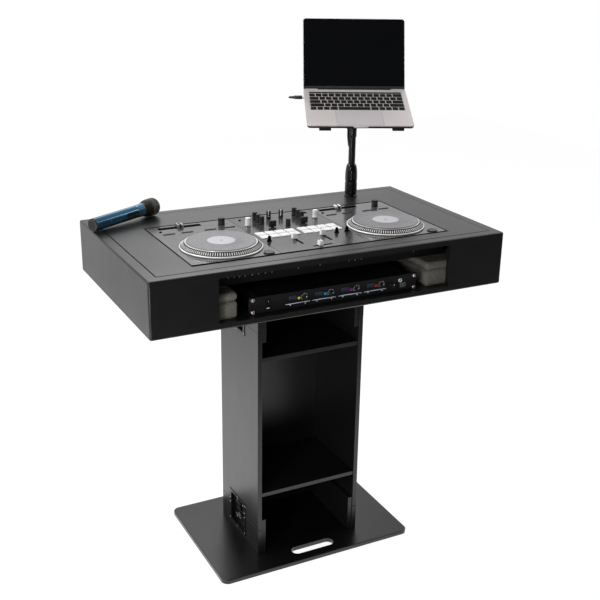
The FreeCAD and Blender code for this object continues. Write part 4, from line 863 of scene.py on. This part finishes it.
def deck_trim():
    """Slot frames, section seams and printed scales on the controller's plate."""
    frames = bmesh.new()
    ink = bmesh.new()
    seam_end = plate_size.y / 2 - 1
    for sign in WAYS:
        pitch_x, channel_x, seam_x = sign * DECK_X + PITCH_SHIFT, sign * CHANNEL_X, sign * MIXER_HALF
        slot_frame(frames, pitch_x, PITCH_ROW, 107, SLOT, 7)
        slot_frame(frames, channel_x, CHANNEL_Y, SLOT, 52, 1.2)
        block(frames, (seam_x - 0.5, -seam_end, deck_top - 0.05), (seam_x + 0.5, seam_end, deck_top + 0.12))
        for step in range(-5, 6):
            tick(ink, pitch_x + step * 10, PITCH_ROW - 11, 0.25, -2.0 if step else -3.4, 0)
        for step in range(10):
            for way in WAYS:
                tick(ink, channel_x + way * 10, CHANNEL_Y - 22.5 + step * 5, 1.5, -0.2, 0.2)
    slot_frame(frames, 0, CROSSFADER_Y, 51, SLOT, 1.2)
    for step in range(-4, 5):
        tick(ink, step * 5.5, CROSSFADER_Y, 0.2, 9.5, 12)
    for band in (*TONE_BANDS, "filter"):
        for side in SIDES:
            low, high, middle = measured(f"{band}_knob_{side}")
            middle -= plate_middle
            reach = (high.x - low.x) / 2 + 2
            for step in range(11):
                turn = spin(math.radians(-150 + 30 * step))
                spot = at(middle.x, middle.y, deck_top) @ turn @ at(0, reach)
                block(ink, (-0.2, -0.7, 0), (0.2, 0.7, 0.1), place=spot)
    piece("slot_frames", frames, ["matt_inlay"], "stand", (), deck_place)
    piece("deck_scales", ink, ["pale_ink"], "stand", (), deck_place)


def opening_gap_shade():
    """A black strip on the top panel round the controller's opening, widest along the front: painted shade
    for the dark gap round the controller.
    """
    gap, lift, thick = 3, 0.02, 0.2
    x, y = plate_size.x / 2 + gap, plate_size.y / 2 + gap
    side, rear, front_left, front_right = 1.4, 3.5, 9, 5
    inner = [(-x, -y), (x, -y), (x, y), (-x, y)]
    outer = [(-x - side, -y - front_left), (x + side, -y - front_right), (x + side, y + rear),
             (-x - side, y + rear)]
    bm = bmesh.new()
    rings = [level(bm, outline, booth_top + rise) for outline, rise in
             ((inner, lift), (outer, lift), (outer, thick), (inner, thick))]
    skin(bm, rings, closed=True)
    piece("opening_gap_shade", bm, ["matt_inlay"], "top_panel", (), deck_place)


def slot_felts():
    """Dust strips under the fader slots, in halves that leave a hair's gap along the slot's middle."""
    def half(middle, way):
        return sorted((middle + way * 0.15, middle + way * 6))
    bm = bmesh.new()
    bottom, top = plate_low.z - 1.0, plate_low.z - 0.2
    for sign in WAYS:
        x = sign * DECK_X + PITCH_SHIFT
        for way in WAYS:
            near, far = half(PITCH_ROW, way)
            block(bm, (x - 56, near, bottom), (x + 56, far, top))
            near, far = half(sign * CHANNEL_X, way)
            block(bm, (near, CHANNEL_Y - 27.5, bottom), (far, CHANNEL_Y + 27.5, top))
    for way in WAYS:
        near, far = half(CROSSFADER_Y, way)
        block(bm, (-28, near, bottom), (28, far, top))
    piece("slot_felts", bm, ["matt_inlay"], "stand", (), deck_place)


def front_sockets():
    """Sockets along the controller's front face."""
    bm = bmesh.new()
    for x in SOCKETS:
        place = at(x, -plate_size.y / 2, SOCKET_HEIGHT) @ spin(QUARTER, "X")
        lathe(bm, [(2.6, -0.2), (4.6, -0.2), (4.6, 1.6), (4.0, 2.2), (2.9, 2.0), (2.6, 1.4)], 24, 0, place,
              closed=True)
        lathe(bm, [(0, 0), (2.6, 0), (2.6, 1.9), (0, 2.3)], 18, 1, place)
    piece("front_sockets", bm, ["platter_band", "platter_mat"], "stand", (), deck_place)


for side in SIDES:
    for band in TONE_BANDS:
        mixer_knob(f"{band}_knob_{side}", "knob_rubber", 16)
    mixer_knob(f"filter_knob_{side}", "knob_rubber", 16, 2.4, FILTER_HEADING)
    mixer_knob(f"level_knob_{side}", "silver_cap", 20, 0.8)
    mixer_knob(f"deck_knob_{side}", "knob_rubber", 20)
    # The pitch caps' dark middle is partly a painted dark reflection in their chrome.
    fader_cap(f"pitch_fader_{side}", True, "platter_polish", 1)
    fader_cap(f"channel_fader_{side}", False, "white_cap")
    effect_paddle(f"effect_paddle_{side}")
    platter(f"platter_{side}")
    record(f"record_{side}", f"platter_{side}")
mixer_knob("browse_knob", "knob_rubber", 20)
fader_cap("crossfader", True, "white_cap")
pads_and_buttons()
small_controls()
deck_trim()
opening_gap_shade()
slot_felts()
front_sockets()


# Laptop pole

TUBE_BORE = 10.6
joint_of = {joint["name"]: joint for joint in frame["joints"]}
pin = Vector(joint_of["tray_tilt"]["pos_m"]) / MM
hinge_spot = Vector(joint_of["laptop_lid_hinge"]["pos_m"]) / MM
tilt_axis = Vector(joint_of["tray_tilt"]["axis"])
yaw = spin(math.atan2(tilt_axis.y, tilt_axis.x))
# The clamp's lever from its foot: share of its length, how far out it lies and its half width
LEVER = ((0.0, 11.7, 3.2), (0.05, 12.6, 4.2), (0.18, 13.8, 4.8), (0.36, 15.3, 5.0), (0.55, 16.2, 5.0),
         (0.8, 16.3, 5.0), (0.95, 16.0, 4.9), (1.0, 14.8, 4.4))


def pole_grip():
    """The clutch on the panel: flange, ribbed grip in two parts and a domed collar."""
    low, high, middle = measured("pole_socket")
    height = high.z - low.z
    flange = (high.x - low.x) / 2
    grip, rib, floor = 18.5, 0.9, 3.2
    profile = [(0, 0), (flange - 0.4, 0), (flange, 0.5), (flange, 2.2), (flange - 1.0, floor),
               (grip - 1.0, 4.2), (grip - 0.6, 6), (grip - 0.2, 9, rib), (grip, 16, rib), (grip, 38, rib),
               (grip - 0.2, 41, rib * 0.6), (grip - 0.8, 43), (grip - 0.8, 47), (grip - 0.4, 49),
               (grip, 51, rib * 0.6), (grip, 56, rib), (grip - 0.3, 70, rib), (grip - 1.0, 80, rib * 0.5),
               (grip - 2.2, 87), (grip - 3.6, height - 3), (grip - 5.6, height), (TUBE_BORE, height),
               (TUBE_BORE, floor), (0, floor)]
    bm = bmesh.new()
    lathe(bm, profile, 96, flutes=16)
    for angle in (0.3, 2.4, 4.5):
        lathe(bm, [(0, 0), (1.5, 0), (1.5, 0.9), (0.9, 1.3), (0, 1.3)], 14, 1,
              spin(angle) @ at(flange - 2.4, 0, 2.2))
    piece("pole_clutch", bm, ["gloss_plastic", "rivet_steel"], "top_panel", ["pole_socket"],
          at(middle.x, middle.y, low.z))


def stand_head():
    """The clamp sleeve on the tube, its curved lever and the lug that the tray tilts on."""
    bm = bmesh.new()
    sleeve, bottom, top = 12.3, -78, -17.7
    profile = [(TUBE_BORE, bottom), (sleeve - 0.9, bottom), (sleeve - 0.2, bottom + 0.5),
               (sleeve, bottom + 1.4)]
    for groove in (bottom + 8, bottom + 40):
        profile += [(sleeve, groove), (sleeve - 0.5, groove + 0.4), (sleeve - 0.5, groove + 1.4),
                    (sleeve, groove + 1.8)]
    profile += [(sleeve, top - 1.6), (sleeve - 0.5, top - 0.4), (sleeve - 1.6, top), (0, top)]
    lathe(bm, profile)
    lever_foot, lever_head, inner = -108, -46, 11.15
    rings = []
    for share, out, half in LEVER:
        section = ((inner, -half), (out - 0.9, -half), (out, -half + 1), (out, half - 1), (out - 0.9, half),
                   (inner, half))
        z = lever_foot + share * (lever_head - lever_foot)
        rings.append(ring(bm, [(-x, y, z) for x, y in section]))
    loft(bm, rings, 1)
    rivet(bm, -16.3, 0, -54, -1)
    wide, reach, ease = 6, 10, 0.5
    outline = [(-reach, top - 1), (reach, top - 1)]
    for step in range(13):
        angle = math.pi * step / 12
        outline.append((reach * math.cos(angle), reach * math.sin(angle)))
    rings = []
    for x, inset in ((-wide, ease), (-wide + ease, 0), (wide - ease, 0), (wide, ease)):
        scale = 1 - inset / reach
        rings.append(ring(bm, [(x, y * scale, z * scale) for y, z in outline]))
    loft(bm, rings)
    piece("head_clamp", bm, ["pole_paint", "gloss_plastic"], "stand_head", ["stand_head"],
          at(*pin) @ yaw)


pole_grip()
stand_head()


# Laptop: its pieces are drawn square, about the tilt pin, and take the tray's slope and heading

SLOPE = math.radians(20.9)
LID_TURN = math.radians(180 - 129.4)
laptop_place = at(*pin) @ yaw @ spin(SLOPE, "X")
lid_place = at(*hinge_spot) @ yaw @ spin(SLOPE + LID_TURN, "X")
DECK_RISE = 30.5
SHIFT = 7.5
LAPTOP_WIDTH, LAPTOP_FRONT, LAPTOP_REAR = 307, -137, 75
# Each row's key widths in key pitches, from the front row to the shallow rear one
KEY_ROWS = ((1, 1, 1, 1.25, 5, 1.25, 1, 1, 1, 1), (2.25, *[1] * 10, 2.25), (1.75, *[1] * 11, 1.75),
            (1.5, *[1] * 12, 1), (*[1] * 13, 1.5), (*[1] * 13, 1.5))
KEY_PITCH, KEY_GAP, REAR_KEY = 19.2, 3.0, 7
WELL_REAR, WELL_DEPTH = LAPTOP_REAR - 18, 108
# Sections of the stick from the laptop outwards: reach, half width and half height
STICK = ((-4.0, 4.6, 3.2), (5.9, 4.6, 3.2), (6.0, 5.3, 4.3), (9.0, 5.5, 4.5), (28.0, 5.2, 4.3),
         (30.0, 4.0, 3.5), (43.0, 3.0, 2.6), (46.0, 1.8, 1.6))


def keyboard():
    """Rounded keys in six staggered rows, in a pale well."""
    keys_half = sum(KEY_ROWS[0]) * KEY_PITCH / 2 - KEY_GAP / 2
    first_y = WELL_REAR - WELL_DEPTH + KEY_GAP
    last_row = len(KEY_ROWS) - 1
    strip_y = first_y + last_row * KEY_PITCH
    floor = DECK_RISE - 1.2
    bm = bmesh.new()
    well = round_outline(278.4, 107.4, 2, (SHIFT, WELL_REAR - WELL_DEPTH / 2), 4)
    prism(bm, well, floor - 0.05, floor + 0.7, 1)
    block(bm, (SHIFT - keys_half, strip_y, floor), (SHIFT + keys_half, strip_y + REAR_KEY, floor + 1))
    for row, widths in enumerate(KEY_ROWS):
        deep = REAR_KEY if row == last_row else KEY_PITCH - KEY_GAP
        x = SHIFT - keys_half
        for width in widths:
            wide = width * KEY_PITCH - KEY_GAP
            centre = (x + wide / 2, first_y + row * KEY_PITCH + deep / 2)
            prism(bm, round_outline(wide, deep, 1.8, centre, 3), floor, floor + 1.4, 0, 0.3)
            x += width * KEY_PITCH
    piece("laptop_keycaps", bm, ["key_plastic", "key_well"], "laptop_tray", ["laptop_keys"],
          laptop_place)


def laptop_details():
    """Trackpad and its seam, the dark lower cover, which is partly painted shade along the laptop's lower
    edge, the front lip with a painted highlight at its finger notch, feet and ports.
    """
    centre = (SHIFT, LAPTOP_FRONT + 44)
    pad = bmesh.new()
    prism(pad, round_outline(134, 80, 3, centre, 4), DECK_RISE - 0.3, DECK_RISE + 0.25)
    piece("laptop_trackpad", pad, ["trackpad_glass"], "laptop_tray", (), laptop_place)
    edge = bmesh.new()
    rings = [level(edge, round_outline(134 + wider, 80 + wider, 3.2, centre, 4), DECK_RISE + lift)
             for wider, lift in ((0.2, 0), (1.0, 0), (1.0, 0.1), (0.2, 0.1))]
    skin(edge, rings, closed=True)
    middle = (SHIFT, (LAPTOP_FRONT + LAPTOP_REAR) / 2)
    depth = LAPTOP_REAR - LAPTOP_FRONT
    # The dark lower cover is partly a real dark bottom and partly painted shade along the laptop's lower
    # edge.
    under_round, proud, cover_low, cover_high = 5.5, 0.15, 25.5, 27.6
    cover = [(proud, cover_high), (proud, cover_low)]
    for step in range(1, 7):
        angle = QUARTER * step / 6
        cover.append((proud - under_round * (1 - math.cos(angle)),
                      cover_low - (under_round + proud) * math.sin(angle)))
    loft(edge, [level(edge, round_outline(LAPTOP_WIDTH + 2 * out, depth + 2 * out, 9 + out, middle), height)
                for out, height in cover])
    # A brighter silver block mid-front: painted highlight where the finger notch catches the light.
    block(edge, (SHIFT - 21, LAPTOP_FRONT - 0.3, 24), (SHIFT + 21, LAPTOP_FRONT + 2, DECK_RISE - 0.5),
          0.25, 2, 1)
    for x in (-115, 115):
        for y in (LAPTOP_FRONT + 30, LAPTOP_REAR - 30):
            lathe(edge, [(0, 0), (7, 0), (7.6, -0.6), (6.4, -1.6), (0, -1.8)], 24, 2, at(SHIFT + x, y, 20.1))
    for way, setback in ((-1, 22), (1, 26), (1, 38), (1, 50)):
        x, y = SHIFT + way * LAPTOP_WIDTH / 2, LAPTOP_REAR - setback
        near, far = sorted((x - way * 0.5, x + way * 0.12))
        block(edge, (near, y - 4.5, 26.2), (far, y + 4.5, 28.4), 0.1, 1, 2)
    piece("laptop_fittings", edge, ["screen_chin", "silver_cap", "knob_rubber"], "laptop_tray",
          (), laptop_place)


def laptop_screen():
    """Cover glass inside the lid's rim, a chin bar, the camera's window and the hinge cover."""
    lid_low, lid_high, face = 0.8, 212, -2.2
    half = LAPTOP_WIDTH / 2 - 1.5
    glass = bmesh.new()
    outline = round_outline(LAPTOP_WIDTH - 2.6, lid_high - lid_low - 2.4, 7.6, (0, (lid_low + lid_high) / 2))
    prism(glass, outline, face - 0.2, face + 0.28, 0, 0.15)
    piece("laptop_screen", glass, ["screen_glass"], "laptop_lid", (), lid_place)
    trim = bmesh.new()
    block(trim, (-half, lid_low + 0.2, face - 0.1), (half, lid_low + 9.5, face + 0.36), 0.05, 1)
    lathe(trim, [(0, 0.26), (1.6, 0.26), (1.6, 0.32), (0, 0.34)], 18, 1, at(0, lid_high - 6, face))
    lathe(trim, [(0, 0), (2.9, 0), (3.06, 0.4), (3.06, 220), (2.9, 220.4), (0, 220.4)], 32, 1,
          at(-110.2) @ spin(QUARTER, "Y"))
    piece("laptop_lid_trim", trim, ["chin_bar", "gloss_plastic"], "laptop_lid", (), lid_place)


def memory_stick():
    """A slim stick: a metal plug into the laptop, a shoulder and a tapered grip."""
    bm = bmesh.new()
    left, y, z = SHIFT - LAPTOP_WIDTH / 2, LAPTOP_REAR - 39.5, 23.25
    rings = []
    for reach, wide, tall in STICK:
        outline = round_outline(2 * wide, 2 * tall, tall * 0.6, steps=3)
        rings.append(ring(bm, [(left - reach, y + u, z + v) for u, v in outline]))
    loft(bm, rings, [1] + [0] * 6)
    piece("memory_stick_case", bm, ["stick_plastic", "silver_cap"], "laptop_tray",
          ["memory_stick"], laptop_place)


keyboard()
laptop_details()
laptop_screen()
memory_stick()


# Microphone, turned along its own axis from the tail

MIC_YAW = math.radians(25.6)
MIC_RISE = math.asin((24.5 - 17.8) / 194)
mic_place = at(-502, 159, booth_top + 18.1) @ spin(MIC_YAW) @ spin(QUARTER - MIC_RISE, "Y")
TAIL_END, BARREL_END, COLLAR_END, FLARE_END = 14, 156, 179, 194
# The switch's window, button and lamp: place along the barrel, width, length, height and finish
SWITCH = ((132, 22, 44, 0.4, 0), (141, 8, 13, 1.2, 1), (122, 6, 6, 0.8, 1))


def mic_piece(name, bm, finishes, replaced=()):
    return piece(name, bm, finishes, "microphone", replaced, mic_place)


def microphone():
    """Blue barrel, black tail cap, pale collar, dark neck and a woven grille."""
    bm = bmesh.new()
    profile = [(0, 1.4), (11.5, 1.2), (12.4, 0.5), (13.2, 0), (16.4, 0), (17.4, 0.7), (17.8, 2), (17.8, 4.2),
               (17.3, 4.6), (17.3, 5.0), (17.8, 5.4), (17.8, TAIL_END), (17.3, 152), (17.2, BARREL_END),
               (16.8, 156.6), (17.3, 157.2), (17.5, 160), (18.3, 176), (18.5, COLLAR_END), (17.8, 179.6),
               (18.6, 180.2), (21.0, 187), (23.6, FLARE_END), (24.4, 203), (23.2, 204), (0, 204)]
    lathe(bm, profile, 56, [4, 4, 1, 3, 3, 3, 1, 1, 1, 1, 0, 0, 0, 1] + [2] * 4 + [1] + [3] * 6)
    mic_piece("microphone_body", bm,
              ["microphone_blue", "knob_rubber", "collar_blue", "dark_alloy", "tail_plastic"], ["microphone"])
    shell = [(23.8, 203)] + [(24.1, 204.6 + step * 2.2) for step in range(8)]
    for step in range(1, 9):
        angle = QUARTER * step / 8
        shell.append((8.4 + 15.6 * math.cos(angle), 220.3 + 15.2 * math.sin(angle)))
    shell += [(5.4, 235.6), (2.6, 235.7), (0, 235.7)]
    grille = bmesh.new()
    lathe(grille, shell, 60)
    wires = mic_piece("microphone_grille", grille, ["grille_wire"]).modifiers.new("wires", "WIREFRAME")
    wires.thickness = 0.9 * MM
    wires.use_replace = True
    inner = bmesh.new()
    lathe(inner, [(radius * 0.96, height - 0.6) for radius, height in shell[:-1]] + [(0, 235.0)], 40)
    lathe(inner, [(23.9, 212.4), (24.5, 212.8), (24.5, 215.0), (23.9, 215.4)], 56, 1, closed=True)
    mic_piece("microphone_windscreen", inner, ["knob_rubber", "dark_alloy"])


def microphone_switch():
    """A window bent round the barrel, with a button and a lamp on it."""
    bm = bmesh.new()
    turn = spin(math.radians(-80))
    wall = 17.3
    for middle, wide, tall, out, finish in SWITCH:
        rings = []
        for step in range(-6, 7):
            share = step / 6
            angle = share * wide / 2 / wall
            half = tall / 2 - 2.2 * share ** 6
            section = ((wall - 1.2, -half), (wall + out, -half), (wall + out, half), (wall - 1.2, half))
            rings.append(ring(bm, [(reach * math.cos(angle), reach * math.sin(angle), middle + along)
                                   for reach, along in section], turn))
        loft(bm, rings, finish)
    mic_piece("microphone_switch", bm, ["gloss_plastic", "dark_alloy"])


microphone()
microphone_switch()


# Stage: floor, world, lamps and camera, in metres

WHITE = (1.0, 1.0, 1.0, 1.0)
CAMERA_SPOT = (-1.16046, -2.31793, 1.66273)
CAMERA_HEADING, CAMERA_DIP, CAMERA_ROLL = math.radians(-27.285), math.radians(-20.108), 0.016


def studio_floor():
    """A floor that the camera sees white and reflections see brightest round the booth."""
    bm = bmesh.new()
    bm.faces.new([bm.verts.new(corner) for corner in ((-5, -1.05, 0), (5, -1.05, 0), (5, 6, 0), (-5, 6, 0))])
    mesh = bpy.data.meshes.new("studio_floor")
    bm.to_mesh(mesh)
    bm.free()
    floor = bpy.data.objects.new("studio_floor", mesh)
    scene.collection.objects.link(floor)
    tree, shader, place = blank("studio_floor")
    tree.nodes.remove(shader)
    path = node(tree, "LightPath").outputs
    strength = remap(tree, vector_maths(tree, "LENGTH", place), 0.9, 2.4, 1.4, 0.85, smooth=True)
    plain = node(tree, "BsdfDiffuse", Color=(0.8, 0.8, 0.8, 1.0)).outputs["BSDF"]
    dim = node(tree, "BsdfDiffuse", Color=(0.2, 0.2, 0.2, 1.0)).outputs["BSDF"]
    glow = node(tree, "Emission", Color=WHITE, Strength=0.88).outputs["Emission"]
    mirrored = node(tree, "Emission", Color=WHITE, Strength=strength).outputs["Emission"]
    bright = node(tree, "AddShader", dim, glow).outputs["Shader"]
    seen = mixed_shader(tree, path["Is Camera Ray"], plain, bright)
    seen = mixed_shader(tree, path["Is Glossy Ray"], seen, mirrored)
    tree.links.new(seen, tree.nodes["Material Output"].inputs["Surface"])
    mesh.materials.append(M["studio_floor"])


def studio_world():
    """Pale behind the booth and dark above and behind the camera, which itself sees plain white."""
    scene.world = bpy.data.worlds.new("studio")
    scene.world.use_nodes = True
    tree = scene.world.node_tree
    background = tree.nodes["Background"]
    axes = node(tree, "SeparateXYZ", node(tree, "TexCoord").outputs["Generated"]).outputs
    behind = remap(tree, axes["Y"], -0.55, 0.15, smooth=True)
    strength = node(tree, "Mix", behind, settings={"data_type": "FLOAT"})
    feed(tree, strength.inputs[2], remap(tree, axes["Z"], -0.25, 0.1, 0.1, 0.06, smooth=True))
    feed(tree, strength.inputs[3], 0.82)
    fill(tree, background, Color=WHITE, Strength=strength.outputs[0])
    white = node(tree, "Background", Color=WHITE, Strength=1.0).outputs["Background"]
    camera_ray = node(tree, "LightPath").outputs["Is Camera Ray"]
    seen = mixed_shader(tree, camera_ray, background.outputs["Background"], white)
    tree.links.new(seen, tree.nodes["World Output"].inputs["Surface"])


def soft_lamp(name, spot, target, width, height, watts, mirrored=True):
    """A soft box at a spot, aimed at a target; it may be kept out of reflections."""
    lamp = bpy.data.lights.new(name, "AREA")
    lamp.shape = "RECTANGLE"
    lamp.size = width
    lamp.size_y = height
    lamp.energy = watts
    made = bpy.data.objects.new(name, lamp)
    scene.collection.objects.link(made)
    made.location = spot
    made.rotation_euler = (Vector(target) - Vector(spot)).to_track_quat("-Z", "Y").to_euler()
    made.visible_glossy = mirrored


def photo_camera():
    """The photograph's viewpoint: place, heading, dip and a small roll, with its lens on a 36 mm sensor."""
    heading, dip, roll = CAMERA_HEADING, CAMERA_DIP, CAMERA_ROLL
    right = Vector((math.cos(heading), math.sin(heading), 0))
    ahead = Vector((-math.sin(heading) * math.cos(dip), math.cos(heading) * math.cos(dip), math.sin(dip)))
    up = right.cross(ahead)
    across = right * math.cos(roll) + up * math.sin(roll)
    above = up * math.cos(roll) - right * math.sin(roll)
    turn = Matrix((across, above, -ahead)).transposed().to_4x4()
    camera = bpy.data.cameras.new("photo_camera")
    camera.sensor_fit = "HORIZONTAL"
    camera.sensor_width = 36.0
    camera.lens = 59.18
    made = bpy.data.objects.new("photo_camera", camera)
    scene.collection.objects.link(made)
    made.matrix_world = Matrix.Translation(CAMERA_SPOT) @ turn
    scene.camera = made


studio_floor()
studio_world()
soft_lamp("key_box", (-1.9, 0.4, 3.1), (0, 0, 0.8), 1.6, 1.6, 56)
soft_lamp("back_box", (1.0, 2.8, 2.8), (0, 0, 0.9), 1.4, 1.4, 11)
soft_lamp("right_box", (2.6, -0.2, 2.4), (0.2, 0, 0.9), 1.2, 1.2, 20)
soft_lamp("front_fill", (-1.4, -1.9, 0.9), (0, -0.2, 0.8), 0.9, 0.9, 15, False)
soft_lamp("side_strip", (-1.76, -1.5, 0.95), (0.3, 0.2, 0.95), 0.16, 2.3, 24)
photo_camera()
scene.view_settings.view_transform = "Standard"
